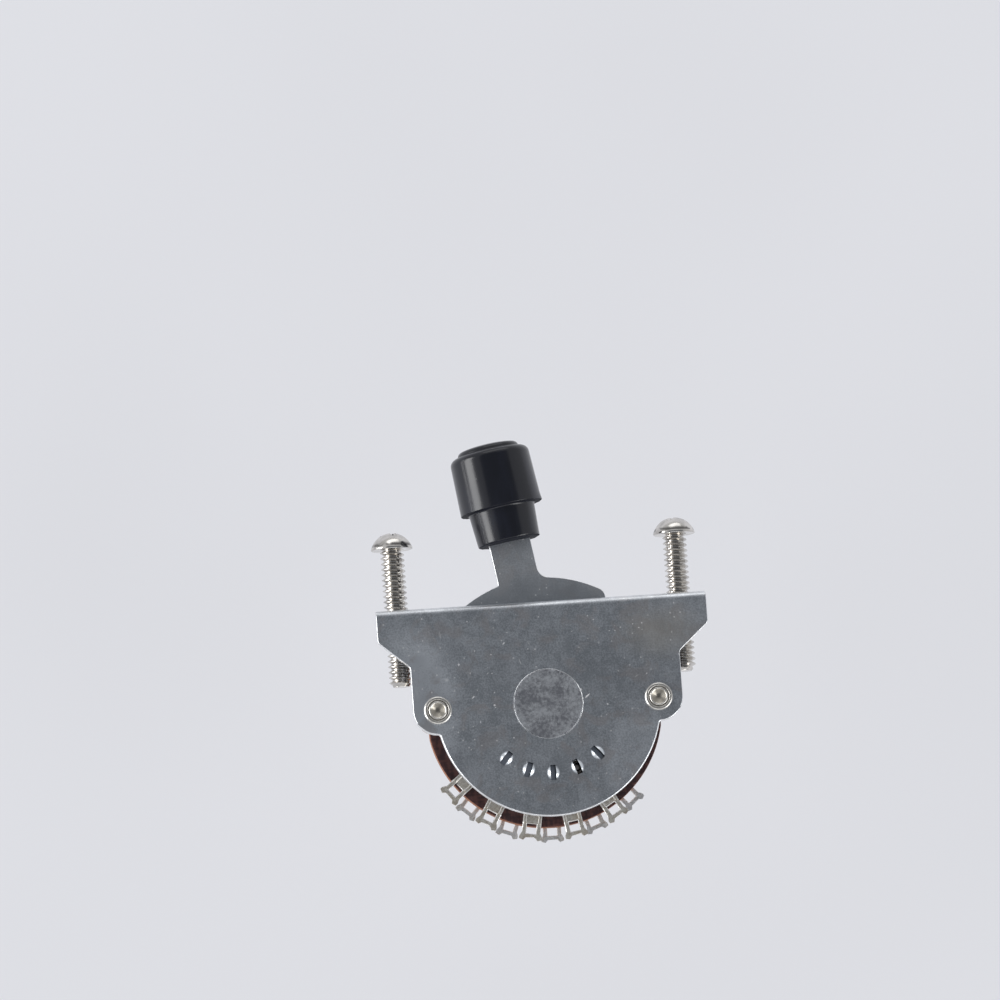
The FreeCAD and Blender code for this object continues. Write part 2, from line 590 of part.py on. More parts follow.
def lug(face, angle, finger_reach):
    """Soldering lug: forked tip with a wire window, ridged body, leg through the wafer, contact finger."""
    half = LUG_WIDTH / 2
    horn = LUG_HORN_WIDTH / 2
    root = WAFER_HOLE + LUG_FROM_HOLE
    window_start = WAFER_RADIUS - LUG_WINDOW_INSET
    window_end = window_start + LUG_WINDOW_LENGTH
    end = window_end + LUG_END_BAR
    outline = [
        (-half, -root),
        (-half, LUG_HORN_ROOT - end),
        (-horn, LUG_HORN_HEEL - end),
        (-horn, -end - LUG_HORN_RISE / 2),
        (-horn + LUG_HORN_TIP, -end - LUG_HORN_RISE),
        (-half + LUG_BAR, -end),
    ]
    outline += [(-x, z) for x, z in reversed(outline)]
    outward = -1 if face == "front" else 1
    seat = WAFER_FRONT if face == "front" else WAFER_BACK

    def layer(start, thickness):
        """Front face of a layer that starts this far off the wafer."""
        return min(seat + outward * start, seat + outward * (start + thickness))

    flat = layer(0, LUG_THICKNESS)
    piece = panel(outline, flat, LUG_THICKNESS)
    piece = piece.cut(bar(half - LUG_BAR, -window_end, -window_start, flat, LUG_THICKNESS))
    leg_low = LUG_LEG_INSET - WAFER_RADIUS - LUG_LEG_THICKNESS / 2
    leg_high = leg_low + LUG_LEG_THICKNESS
    piece = piece.fuse(bar(LUG_LEG_WIDTH / 2, leg_low, leg_high, WAFER_FRONT, WAFER_THICKNESS))
    ridge_low = LUG_RIDGE_INSET - WAFER_RADIUS
    ridge_high = ridge_low + LUG_RIDGE_LENGTH
    ridges = bar(half, ridge_low, ridge_high, layer(LUG_THICKNESS, LUG_RIDGE_RISE), LUG_RIDGE_RISE)
    valley = bar(half - LUG_RIDGE_WIDTH, ridge_low, ridge_high, ridges.BoundBox.YMin, LUG_RIDGE_RISE)
    piece = piece.fuse(ridges.cut(valley))
    clear = BLADE_THICKNESS + FINGER_GAP
    step = root + LUG_THICKNESS
    finger = bar(FINGER_WIDTH / 2, -step, -finger_reach, layer(clear, LUG_THICKNESS), LUG_THICKNESS)
    joggle = bar(FINGER_WIDTH / 2, -step, -root, layer(0, clear + LUG_THICKNESS), clear + LUG_THICKNESS)
    return turned(piece.fuse([finger, joggle]).removeSplitter(), angle)


def fixing_screw(side):
    """Round-head screw, its shank plain here; the left one is turned in a little less than the right."""
    stand_off = SCREW_STAND_OFF - side * SCREW_UNEVEN
    foot = FreeCAD.Vector(side * SCREW_SPACING / 2, 0, stand_off - SCREW_LENGTH)
    dome_rise = SCREW_HEAD_HEIGHT - SCREW_HEAD_RIM
    dome_radius = (SCREW_HEAD_RADIUS**2 + dome_rise**2) / (2 * dome_rise)
    half_angle = math.asin(SCREW_HEAD_RADIUS / dome_radius) / 2
    dome_centre = SCREW_LENGTH + SCREW_HEAD_HEIGHT - dome_radius
    crown = dome_radius * math.sin(half_angle)
    profile = [
        (0, 0),
        (SCREW_RADIUS - SCREW_POINT, 0),
        (SCREW_RADIUS, SCREW_POINT),
        (SCREW_RADIUS, SCREW_LENGTH),
        (SCREW_HEAD_RADIUS, SCREW_LENGTH),
        (SCREW_HEAD_RADIUS, SCREW_LENGTH + SCREW_HEAD_RIM),
        (crown, dome_centre + dome_radius * math.cos(half_angle)),
        (crown / 2, dome_centre + math.sqrt(dome_radius**2 - crown**2 / 4)),
        (0, SCREW_LENGTH + SCREW_HEAD_HEIGHT),
    ]
    return lathed(profile, foot, UP)


def all_pieces():
    """Every piece of the switch by name, at rest in its second position."""
    pieces = {
        "mounting_frame": mounting_frame(),
        "pivot_stud": pivot_stud(),
        "axle_washer": axle_washer(),
        "stator_wafer": stator_wafer(),
    }
    for name, side in SIDES:
        pieces[f"{name}_rivet"] = ear_rivet(side)
        pieces[f"{name}_spacer"] = ear_spacer(side)
        pieces[f"{name}_screw"] = fixing_screw(side)
    for face in ("front", "rear"):
        angles = lug_angles(face)
        common = 0 if face == "front" else LUG_COUNT - 1
        for number, angle in enumerate(angles):
            reach = COMMON_FINGER_REACH if number == common else THROW_FINGER_REACH
            pieces[f"lug_{face}_{number + 1}"] = lug(face, angle, reach)
    moving = {
        "lever_blade": lever_blade(),
        "lever_knob": lever_knob(),
        "index_spring": index_spring(),
        "index_spring_rivets": index_spring_rivets(),
        "drive_hub": drive_hub(),
        "rotor_disc": rotor_disc(),
        "rotor_contact_front": rotor_contact(WAFER_FRONT - BLADE_THICKNESS, 0),
        "rotor_contact_rear": rotor_contact(WAFER_BACK, -POCKET_PITCH / 2),
        "rotor_rivets": rotor_rivets(),
    }
    for name, shape in moving.items():
        pieces[name] = turned(shape, -LEVER_REST)
    return pieces


os.makedirs("parts", exist_ok=True)
for piece_name, piece_shape in all_pieces().items():
    if not piece_shape.isValid():
        raise ValueError(piece_name + " is not a valid solid")
    piece_shape.exportStep("parts/" + piece_name + ".step")
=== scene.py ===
"""Visible pieces and finishes of a guitar pickup selector switch, over its CAD frame.

Metres. X is to the right seen from the front, Y is away from the viewer, Z is up.
"""

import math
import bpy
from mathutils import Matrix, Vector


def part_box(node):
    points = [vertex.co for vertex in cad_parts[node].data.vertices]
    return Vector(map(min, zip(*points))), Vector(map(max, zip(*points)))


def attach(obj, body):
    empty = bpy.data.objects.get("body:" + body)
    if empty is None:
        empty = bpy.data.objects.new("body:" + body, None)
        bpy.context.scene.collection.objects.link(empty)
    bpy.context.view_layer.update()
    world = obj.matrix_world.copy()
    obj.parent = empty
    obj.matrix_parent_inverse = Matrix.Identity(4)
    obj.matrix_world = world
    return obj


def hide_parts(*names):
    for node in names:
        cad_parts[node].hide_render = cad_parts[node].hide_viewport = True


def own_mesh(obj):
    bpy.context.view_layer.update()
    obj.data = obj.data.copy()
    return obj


bl_info = {
    "name": "Pickup Selector Switch",
    "version": (1, 0, 0),
    "blender": (4, 5, 0),
    "location": "3D View > Sidebar > Switch",
    "description": "Builds the visible pieces of a lever selector switch over its CAD frame",
    "category": "Object",
}

import bmesh
import bpy
from bpy.props import FloatProperty, FloatVectorProperty, IntProperty, PointerProperty
from bpy.types import NodeSocket, Operator, Panel, PropertyGroup
from mathutils import Matrix, Vector, noise

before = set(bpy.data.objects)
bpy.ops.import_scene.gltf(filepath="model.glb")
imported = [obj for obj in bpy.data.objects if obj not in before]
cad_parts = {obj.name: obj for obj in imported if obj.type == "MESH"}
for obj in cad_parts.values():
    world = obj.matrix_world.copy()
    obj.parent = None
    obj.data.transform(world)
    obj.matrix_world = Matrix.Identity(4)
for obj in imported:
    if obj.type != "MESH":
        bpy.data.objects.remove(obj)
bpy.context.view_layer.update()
MM = 0.001


def middle(node):
    """Middle of a CAD node's box."""
    low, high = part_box(node)
    return (low + high) / 2


PIVOT = middle("pivot_stud")
PLATE_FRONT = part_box("pivot_stud")[0].y
LUG_COUNT = sum(name.startswith("lug_front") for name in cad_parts)
OUTER_POCKET = 2  # pockets on each side of the middle one

FULL_TURN = 2 * math.pi
MERGE = 0.002 * MM  # points closer than this become one
CUT_SLACK = 0.0001 * MM  # points this near a cutting plane lie on it
FLAT_FOLD = math.radians(0.4)  # CAD triangles that fold less are one face
CRISP_FOLD = math.radians(38)  # folds above this are shaded as an edge
TEAR_LINES = (1.0, 0.2, 1.0)  # stretch of the lines that shearing leaves across the sheet
REAR_LUG_PAINTED_REFLECTION = (1.04, 1.07, 1.12)  # painted reflection: the rear lugs lighter and bluer, as they mirror the backdrop
FRONT_LUG_PAINTED_SHADE = (0.97, 0.95, 0.90)  # painted shade: the front lugs a little darker and warmer


def shade(*channels):
    """Linear colour of a screen colour given as three numbers up to 255."""
    values = [channel / 255 for channel in channels]
    return tuple(v / 12.92 if v <= 0.04045 else ((v + 0.055) / 1.055) ** 2.4 for v in values)


def scaled(values, *factors):
    """Three numbers times one factor, or times a factor each."""
    return [v * f for v, f in zip(values, factors * 3 if len(factors) == 1 else factors)]


def length(label, text, size):
    """A length property whose default is given in millimetres."""
    return FloatProperty(
        name=label, description=text, default=size * MM, min=0.0, unit="LENGTH", precision=5
    )


def angle(label, text, degrees):
    """An angle property whose default is given in degrees."""
    return FloatProperty(
        name=label, description=text, default=math.radians(degrees), subtype="ANGLE"
    )


def ratio(label, text, share, **limits):
    """A plain number property."""
    return FloatProperty(name=label, description=text, default=share, **limits)


def count(label, text, number, least):
    """A whole number property."""
    return IntProperty(name=label, description=text, default=number, min=least)


def colour(label, text, *value):
    """A colour property."""
    return FloatVectorProperty(
        name=label, description=text, default=value, min=0.0, max=1.0, subtype="COLOR"
    )


# Sizes and colours


class SheetMetalSettings(PropertyGroup):
    """Bent frame and lever, stamped from zinc plated sheet."""

    outline_round: length("Outline round", "Rounding of the sheared outline", 0.14)
    arc_round: length("Arc round", "Rounding of the outline's round lower part", 0.24)
    pocket_radius: length("Pocket radius", "Radius of an index pocket's dome", 0.95)
    pocket_stretch: ratio("Pocket stretch", "Length of a pocket over its width", 1.2, min=1.0)
    slit_half: length("Slit half width", "Half width of the slit in a pocket", 0.375)
    slit_flare: length("Slit flare", "Widening of the slit at its front", 0.05)
    pocket_pitch: angle("Pocket pitch", "Angle from one index pocket to the next", 20.6)
    pocket_circle: length("Pocket circle", "Distance of the pockets from the pivot", 10.1)
    lever_round: length("Lever round", "Rounding of the lever's edges", 0.12)
    bright: colour("Bright zinc", "Clean zinc plate", 0.785, 0.825, 0.875)
    dull: colour("Dull zinc", "Clouded zinc plate", 0.37, 0.398, 0.432)
    sheared: colour("Sheared edge", "Cut edge of the sheet", 0.93, 0.94, 0.95)
    warm: colour("Warm zinc", "Faint brown tint in the zinc", 0.52, 0.48, 0.47)
    # painted light: a pale blue-grey for the lever behind the index pockets, lighter than the shade
    # there
    grease_and_painted_light: colour("Slit light", "Painted light on the lever behind the index pockets", 0.66, 0.72, 0.82)
    stain: colour("Stain", "Faint brown stain at the right shoulder", 0.57, 0.54, 0.49)


class StudSettings(PropertyGroup):
    """Pivot stud, staked flush in the plate."""

    edge_round: length("Edge round", "Rounding of the staked disc", 0.085)
    bright: colour("Bright patch", "Rubbed steel", 0.92, 0.945, 0.98)
    dark: colour("Dark patch", "Tarnished steel", 0.29, 0.30, 0.33)


class ScrewSettings(PropertyGroup):
    """Fixing screws with a round head, a cross recess and a thread to the head."""

    crest_radius: length("Crest radius", "Outer radius of the thread", 1.75)
    root_radius: length("Root radius", "Radius at the foot of the thread", 1.28)
    pitch: length("Pitch", "Rise of the thread in one turn", 0.794)
    point: length("Point", "Height of the bevelled point", 0.5)
    head_radius: length("Head radius", "Radius of the round head", 3.03)
    head_rim: length("Head rim", "Height of the head's upright rim", 0.25)
    recess_reach: length("Recess reach", "Half length of the cross recess", 1.75)
    recess_width: length("Recess width", "Half width of an arm of the recess", 0.36)
    recess_depth: length("Recess depth", "Depth of the cross recess", 1.3)
    steps: count("Steps", "Steps in one turn", 24, 8)
    nickel: colour("Nickel", "Bright nickel plate", 0.74, 0.715, 0.68)


class RivetSettings(PropertyGroup):
    """Tubular rivets through the frame, the spacers and the wafer."""

    flange_radius: length("Flange radius", "Radius of the rolled flange", 2.05)
    groove_radius: length("Groove radius", "Radius of the groove in the head", 1.44)
    crown_radius: length("Crown radius", "Radius of the raised inner ring", 1.24)
    bowl_radius: length("Bowl radius", "Radius of the bowl's floor", 0.3)
    bowl_depth: length("Bowl depth", "Depth of the bowl", 0.56)
    steps: count("Steps", "Steps in a full turn", 64, 12)
    nickel: colour("Nickel", "Nickel plate on the rivets", 0.72, 0.70, 0.66)


class KnobSettings(PropertyGroup):
    """Barrel knob pushed on the lever."""

    lean: angle("Lean", "Lean of the lever towards the left at rest", 8.95)
    stand_off: length("Stand off", "Underside of the neck above the pivot", 24.4)
    neck_radius: length("Neck radius", "Radius of the neck at the barrel", 4.85)
    neck_end_radius: length("Neck end radius", "Radius of the neck at its underside", 4.55)
    neck_length: length("Neck length", "Length of the neck", 5.0)
    barrel_radius: length("Barrel radius", "Radius of the barrel at the neck", 6.0)
    barrel_top_radius: length("Barrel top radius", "Radius of the barrel at its top", 5.8)
    barrel_length: length("Barrel length", "Length of the barrel", 8.45)
    shoulder_round: length("Shoulder round", "Rounding of the barrel's top", 1.0)
    crown_radius: length("Crown radius", "Radius of the raised top", 4.5)
    crown_height: length("Crown height", "Height of the raised top", 1.1)
    flash: length("Flash", "Unevenness of the moulded rims", 0.07)
    gate: length("Gate mark", "Lip that the gate left on both rims", 0.12)
    steps: count("Steps", "Steps in a full turn", 128, 24)
    plastic: colour("Plastic", "Black moulded plastic", 0.0075, 0.0085, 0.0135)


class WaferSettings(PropertyGroup):
    """Phenolic wafer, rotor and soldering lugs."""

    board_round: length("Board round", "Rounding of the punched board", 0.07)
    ear_radius: length("Ear radius", "Radius of the board's ears", 2.7)
    ear_trim: length("Ear trim", "What the ears' outline draws in", 0.25)
    ridge_round: length("Ridge round", "Rounding of the lugs' long edges", 0.12)
    lug_round: length("Blade round", "Rounding of the rotor's blades and rivets", 0.06)
    painted_shadow_radius: length("Shadow radius", "Radius of the painted shadow on the board's middle", 16.6)
    board: colour("Board", "Face of the phenolic board", *shade(72, 47, 50))
    fibre: colour("Fibre", "Fibres in the board", *shade(122, 82, 76))
    punched: colour("Punched edge", "Punched edge of the board", *shade(158, 104, 74))
    rotor: colour("Rotor", "Face of the rotor board", *shade(112, 78, 52))
    silver: colour("Silver", "Silver plate on the lugs", 0.92, 0.905, 0.87)


class HubSettings(PropertyGroup):
    """Drive hub and index spring."""

    hub_round: length("Hub round", "Rounding of the moulded hub", 0.12)
    spring_round: length("Spring round", "Rounding of the spring's edges", 0.03)
    nose_keep: ratio(
        "Nose keep", "Share of the nose's reach left at the throw's end", 0.56, min=0.1, max=1.0
    )
    ivory: colour("Ivory", "Moulded hub", *shade(222, 212, 186))
    spring: colour("Spring", "Tempered spring steel", 0.55, 0.535, 0.52)


class StageSettings(PropertyGroup):
    """Camera, backdrop and lamps."""

    yaw: angle("Yaw", "Turn of the view towards the right", 4.7)
    pitch: angle("Pitch", "Tilt of the view upwards", 7.1)
    roll: angle("Roll", "Turn of the camera about its view", 4.2)
    distance: length("Distance", "Camera to pivot", 2000)
    field: length("Field", "Width of the picture at the pivot", 145.0)
    across: ratio("Across", "Pivot's place across the picture", 0.5483)
    down: ratio("Down", "Pivot's place down the picture", 0.7034)
    backdrop_gap: length("Backdrop gap", "Backdrop behind the pivot", 34)
    backdrop: colour("Backdrop", "Pale backdrop", *shade(233, 234, 239))
    glow: colour("Backdrop glow", "What shows of an unshaded backdrop", *shade(232, 233, 238))
    surround: colour("Surround", "Light from all round", 0.60, 0.605, 0.62)
    card: colour("Card", "Grey card behind the camera", 0.168, 0.175, 0.187)


# Helpers for the meshes


def wire(points):
    """A chain of edges through points in the XZ plane."""
    bm = bmesh.new()
    verts = [bmesh.ops.create_vert(bm, co=(x, 0, z))["vert"][0] for x, z in points]
    for pair in zip(verts, verts[1:]):
        bm.edges.new(pair)
    return bm


def spin(bm, steps, sweep=FULL_TURN, rise=0.0, merge=True):
    """Sweeps a mesh's edges round Z; rise is what each step climbs."""
    bmesh.ops.spin(
        bm, geom=bm.verts[:] + bm.edges[:], cent=(0, 0, 0), axis=(0, 0, 1),
        dvec=(0, 0, rise), angle=sweep, steps=steps, use_merge=merge,
    )


def turned(points, steps):
    """A closed body turned about Z from a chain of (radius, height, rounding)."""
    bm = wire([(radius, height) for radius, height, _ in points])
    roundings = [rounding for _, _, rounding in points]
    for corner, rounding in zip(bm.verts[:], roundings):
        if rounding <= 0:
            continue
        bmesh.ops.bevel(
            bm, geom=[corner], offset=rounding, offset_type="OFFSET", segments=5,
            profile=0.5, affect="VERTICES", material=-1, clamp_overlap=True,
        )
    spin(bm, steps)
    close_up(bm)
    return bm


def close_up(bm):
    """Merges the doubles of a turned body and points its faces outwards."""
    bmesh.ops.remove_doubles(bm, verts=bm.verts[:], dist=MERGE)
    bmesh.ops.recalc_face_normals(bm, faces=bm.faces[:])


def slice_at(bm, height, normal=(0, 0, 1), clear=False):
    """Cuts a mesh at a height; clear drops what lies on the normal's side."""
    bmesh.ops.bisect_plane(
        bm, geom=bm.verts[:] + bm.edges[:] + bm.faces[:], dist=CUT_SLACK,
        plane_co=(0, 0, height), plane_no=normal, clear_outer=clear,
    )


def place(bm, turn, shift):
    """Turns a mesh about the origin, then moves it."""
    bmesh.ops.transform(bm, matrix=Matrix.Translation(shift) @ turn, verts=bm.verts[:])


def copy_of(node):
    """A CAD node's mesh, merged and freed of its flat triangles."""
    bm = bmesh.new()
    bm.from_mesh(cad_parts[node].data)
    bmesh.ops.remove_doubles(bm, verts=bm.verts[:], dist=MERGE)
    bmesh.ops.dissolve_limit(
        bm, angle_limit=FLAT_FOLD, verts=bm.verts[:], edges=bm.edges[:],
        use_dissolve_boundaries=False,
    )
    return bm


def soften(bm, rounding, chosen=None, segments=3, least=28, mark=None, shortest=0.03 * MM):
    """Bevels the edges that fold by more than least degrees.

    chosen picks them by their middle, shortest leaves out tiny ones, and mark is their material.
    """
    edges = []
    for edge in bm.edges:
        if len(edge.link_faces) != 2 or edge.calc_face_angle(0) < math.radians(least):
            continue
        if edge.calc_length() < shortest:
            continue
        if chosen is None or chosen((edge.verts[0].co + edge.verts[1].co) / 2):
            edges.append(edge)
    made = bmesh.ops.bevel(
        bm, geom=edges, offset=rounding, offset_type="OFFSET", segments=segments,
        profile=0.5, affect="EDGES", material=-1, clamp_overlap=False, loop_slide=True,
    )
    if mark is not None:
        for face in made["faces"]:
            face.material_index = mark


def softened(node, rounding, **how):
    """A CAD node's mesh with its sharp edges bevelled."""
    bm = copy_of(node)
    soften(bm, rounding, **how)
    return bm


def cut_faces(bm, facing, most, index):
    """Gives the faces for which facing is below most their own material."""
    for face in bm.faces:
        if facing(face) < most:
            face.material_index = index


def in_sheet(face):
    """One for the faces of an upright sheet, nothing for its cut edges."""
    return abs(face.normal.y)


def mesh_of(name, bm, *materials):
    """Turns a bmesh into a mesh with its materials."""
    mesh = bpy.data.meshes.new(name)
    bm.to_mesh(mesh)
    bm.free()
    for material in materials:
        mesh.materials.append(material)
    return mesh


def hang(name, data):
    """A new object in the scene."""
    piece = bpy.data.objects.new(name, data)
    bpy.context.scene.collection.objects.link(piece)
    return piece


def dress(name, bm, materials, body, node, crisp=None):
    """Makes the mesh an object that stands for its CAD node and moves with its body.

    crisp is a material whose patches keep a hard border.
    """
    for edge in bm.edges:
        sides = {face.material_index for face in edge.link_faces}
        border = crisp in sides and sides != {crisp}
        folded = len(edge.link_faces) == 2 and edge.calc_face_angle(0) > CRISP_FOLD
        edge.smooth = not (folded or border)
    mesh = mesh_of(name, bm, *materials)
    mesh.shade_smooth()
    piece = hang(name, mesh)
    piece.modifiers.new("even shading", "WEIGHTED_NORMAL").keep_sharp = True
    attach(piece, body)
    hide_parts(node)
    return piece


# Helpers for the finishes


class Finish:
    """A procedural material on object coordinates, its grain given in millimetres."""

    def __init__(self, name, metallic=0.0, roughness=0.4):
        self.material = bpy.data.materials.new(name)
        self.material.use_nodes = True
        self.tree = self.material.node_tree
        self.shader = self.tree.nodes["Principled BSDF"]
        self.shader.inputs["Metallic"].default_value = metallic
        self.shader.inputs["Roughness"].default_value = roughness
        self.place = self.add("ShaderNodeTexCoord").outputs["Object"]

    def add(self, kind, **settings):
        """A node with its settings."""
        node = self.tree.nodes.new(kind)
        for key, value in settings.items():
            setattr(node, key, value)
        return node

    def feed(self, socket, value):
        """Links an output to a socket, or sets the socket's value."""
        if isinstance(value, NodeSocket):
            self.tree.links.new(value, socket)
        elif socket.type == "RGBA":
            socket.default_value = (*value, 1.0)
        else:
            socket.default_value = value

    def feed_all(self, node, **values):
        """Feeds a node's inputs by name."""
        for name, value in values.items():
            self.feed(node.inputs[name], value)

    def laid(self, stretch, turn=0.0):
        """Object coordinates turned about Y and stretched."""
        moved = self.add("ShaderNodeMapping", vector_type="POINT")
        self.feed_all(moved, Vector=self.place, Rotation=(0, turn, 0), Scale=stretch)
        return moved.outputs["Vector"]

    def cloud(self, size, detail=3.0, rough=0.5, warp=0.0, stretch=None, turn=0.0):
        """Noise whose lumps are about size across."""
        node = self.add("ShaderNodeTexNoise")
        on = self.laid(stretch, turn) if stretch else self.place
        self.feed_all(
            node, Vector=on, Scale=1 / (size * MM), Detail=detail, Roughness=rough, Distortion=warp
        )
        return node.outputs["Fac"]

    def remap(self, value, low, high, first=0.0, last=1.0):
        """Value from low to high, mapped to first and last and held there."""
        node = self.add("ShaderNodeMapRange", clamp=True, interpolation_type="SMOOTHSTEP")
        for socket, amount in zip(node.inputs, (value, low, high, first, last)):
            self.feed(socket, amount)
        return node.outputs["Result"]

    def chain(self, operation, total, *values):
        """One operation over several values, from the first to the last."""
        for value in values:
            node = self.add("ShaderNodeMath", operation=operation)
            self.feed(node.inputs[0], total)
            self.feed(node.inputs[1], value)
            total = node.outputs["Value"]
        return total

    def plus(self, *values):
        """The sum of values."""
        return self.chain("ADD", *values)

    def times(self, *values):
        """The product of values."""
        return self.chain("MULTIPLY", *values)

    def most(self, *values):
        """The greatest of values."""
        return self.chain("MAXIMUM", *values)

    def blend(self, share, first, second):
        """Colour between first and second."""
        node = self.add("ShaderNodeMix", data_type="RGBA")
        colours = [socket for socket in node.inputs if socket.type == "RGBA"]
        for socket, value in zip((node.inputs["Factor"], *colours), (share, first, second)):
            self.feed(socket, value)
        return next(socket for socket in node.outputs if socket.type == "RGBA")

    def near(self, spot, reach, soft, squash=None):
        """One inside reach of a spot, fading to nothing over soft; squash scales the axes."""
        node = self.add("ShaderNodeVectorMath", operation="DISTANCE")
        self.feed(node.inputs[0], self.laid(squash) if squash else self.place)
        node.inputs[1].default_value = scaled(spot, *squash) if squash else spot
        return self.remap(node.outputs["Value"], reach, reach + soft, 1.0, 0.0)

    def height(self):
        """Height above the flange's top."""
        node = self.add("ShaderNodeSeparateXYZ")
        self.feed(node.inputs[0], self.place)
        return node.outputs["Z"]

    def specks(self, size, share, spot):
        """Round specks: a share of the cells about size across hold one whose radius is spot."""
        cells = self.add("ShaderNodeTexVoronoi", feature="F1")
        self.feed_all(cells, Vector=self.place, Scale=1 / (size * MM))
        split = self.add("ShaderNodeSeparateColor")
        self.feed(split.inputs["Color"], cells.outputs["Color"])
        chosen = self.chain("LESS_THAN", split.outputs["Red"], share)
        return self.times(chosen, self.remap(cells.outputs["Distance"], spot * 0.6, spot, 1.0, 0.0))

    def nick(self, across, up, half_length, half_width, tilt):
        """One inside a small oval on the front, in millimetres from the pivot and degrees."""
        moved = self.add("ShaderNodeMapping", vector_type="TEXTURE")
        self.feed_all(
            moved, Vector=self.place, Location=(PIVOT.x + across * MM, 0, PIVOT.z + up * MM),
            Rotation=(0, math.radians(tilt), 0), Scale=(half_length * MM, 1.0, half_width * MM),
        )
        node = self.add("ShaderNodeVectorMath", operation="LENGTH")
        self.feed(node.inputs[0], moved.outputs["Vector"])
        return self.remap(node.outputs["Value"], 0.5, 1.0, 1.0, 0.0)

    def marks(self, places):
        """The ovals of a list, each with its own strength first."""
        return [self.times(self.nick(*place), strength) for strength, *place in places]

    def paint(self, value):
        """Sets or feeds the base colour."""
        self.feed(self.shader.inputs["Base Color"], value)

    def gloss(self, value, *limits):
        """Feeds the roughness, through remap where its limits are given."""
        value = self.remap(value, *limits) if limits else value
        self.feed(self.shader.inputs["Roughness"], value)

    def relief(self, height, depth, strength):
        """Bump of that depth."""
        node = self.add("ShaderNodeBump")
        self.feed_all(node, Strength=strength, Distance=depth * MM, Height=height)
        self.feed(self.shader.inputs["Normal"], node.outputs["Normal"])

    def show(self, surface):
        """Makes a shader the material's surface."""
        self.feed(self.tree.nodes["Material Output"].inputs["Surface"], surface)


# Finishes


# Nicks on the front plate, and patches of painted light and shade on it: strength, across, up, half
# length, half width, tilt
PLATE_NICKS = (
    (1.0, 5.75, 0.75, 0.62, 0.14, -38),
    (0.8, 4.95, 1.75, 0.30, 0.10, 60),
    (0.8, -5.85, 9.15, 0.30, 0.11, -50),
    (0.5, -3.65, 6.35, 0.75, 0.09, 72),
    (0.8, -10.8, 1.6, 0.34, 0.11, -42),
    (0.3, -14.5, 4.35, 0.42, 0.32, 0),
    (0.3, -15.0, 11.0, 0.70, 0.13, 82),
    (0.5, 7.7, -10.7, 0.30, 0.10, -60),
    (0.4, 0.4, -14.1, 0.26, 0.10, 15),
    (0.5, 8.0, 8.4, 0.24, 0.09, -70),
    (0.4, 13.1, 3.2, 0.40, 0.08, -35),
    (0.4, -9.4, -8.2, 0.30, 0.09, 50),
    (0.4, -2.2, 8.9, 0.45, 0.07, 68),
    (0.35, 10.2, -3.4, 0.28, 0.07, 30),
    (0.35, 3.6, -12.8, 0.30, 0.07, -20),
    (0.3, -12.6, -3.0, 0.34, 0.07, 75),
    (0.3, 12.6, 7.6, 0.30, 0.07, 55),
)
PLATE_LIGHT_AND_SHADE = (
    (0.62, -19.0, 1.0, 7.5, 13.0, 0),
    (0.08, -17.0, 11.0, 9.0, 5.0, 0),
    (0.30, 12.5, -8.0, 6.0, 8.0, 25),
    (0.05, -8.0, -12.0, 7.0, 5.0, 0),
    (-0.10, 0.0, -11.5, 6.0, 3.0, 0),
    (-0.14, 7.0, 3.0, 9.0, 7.0, 0),
    (0.24, 19.0, 10.5, 7.0, 5.0, 0),
)
STAIN_SPOT = (17.0 * MM, PLATE_FRONT, -5.5 * MM)
NICK_WHITE = (0.97, 0.97, 0.97)
FACE_ON = (1.0, 0.0, 1.0)  # leaves the depth out of a distance


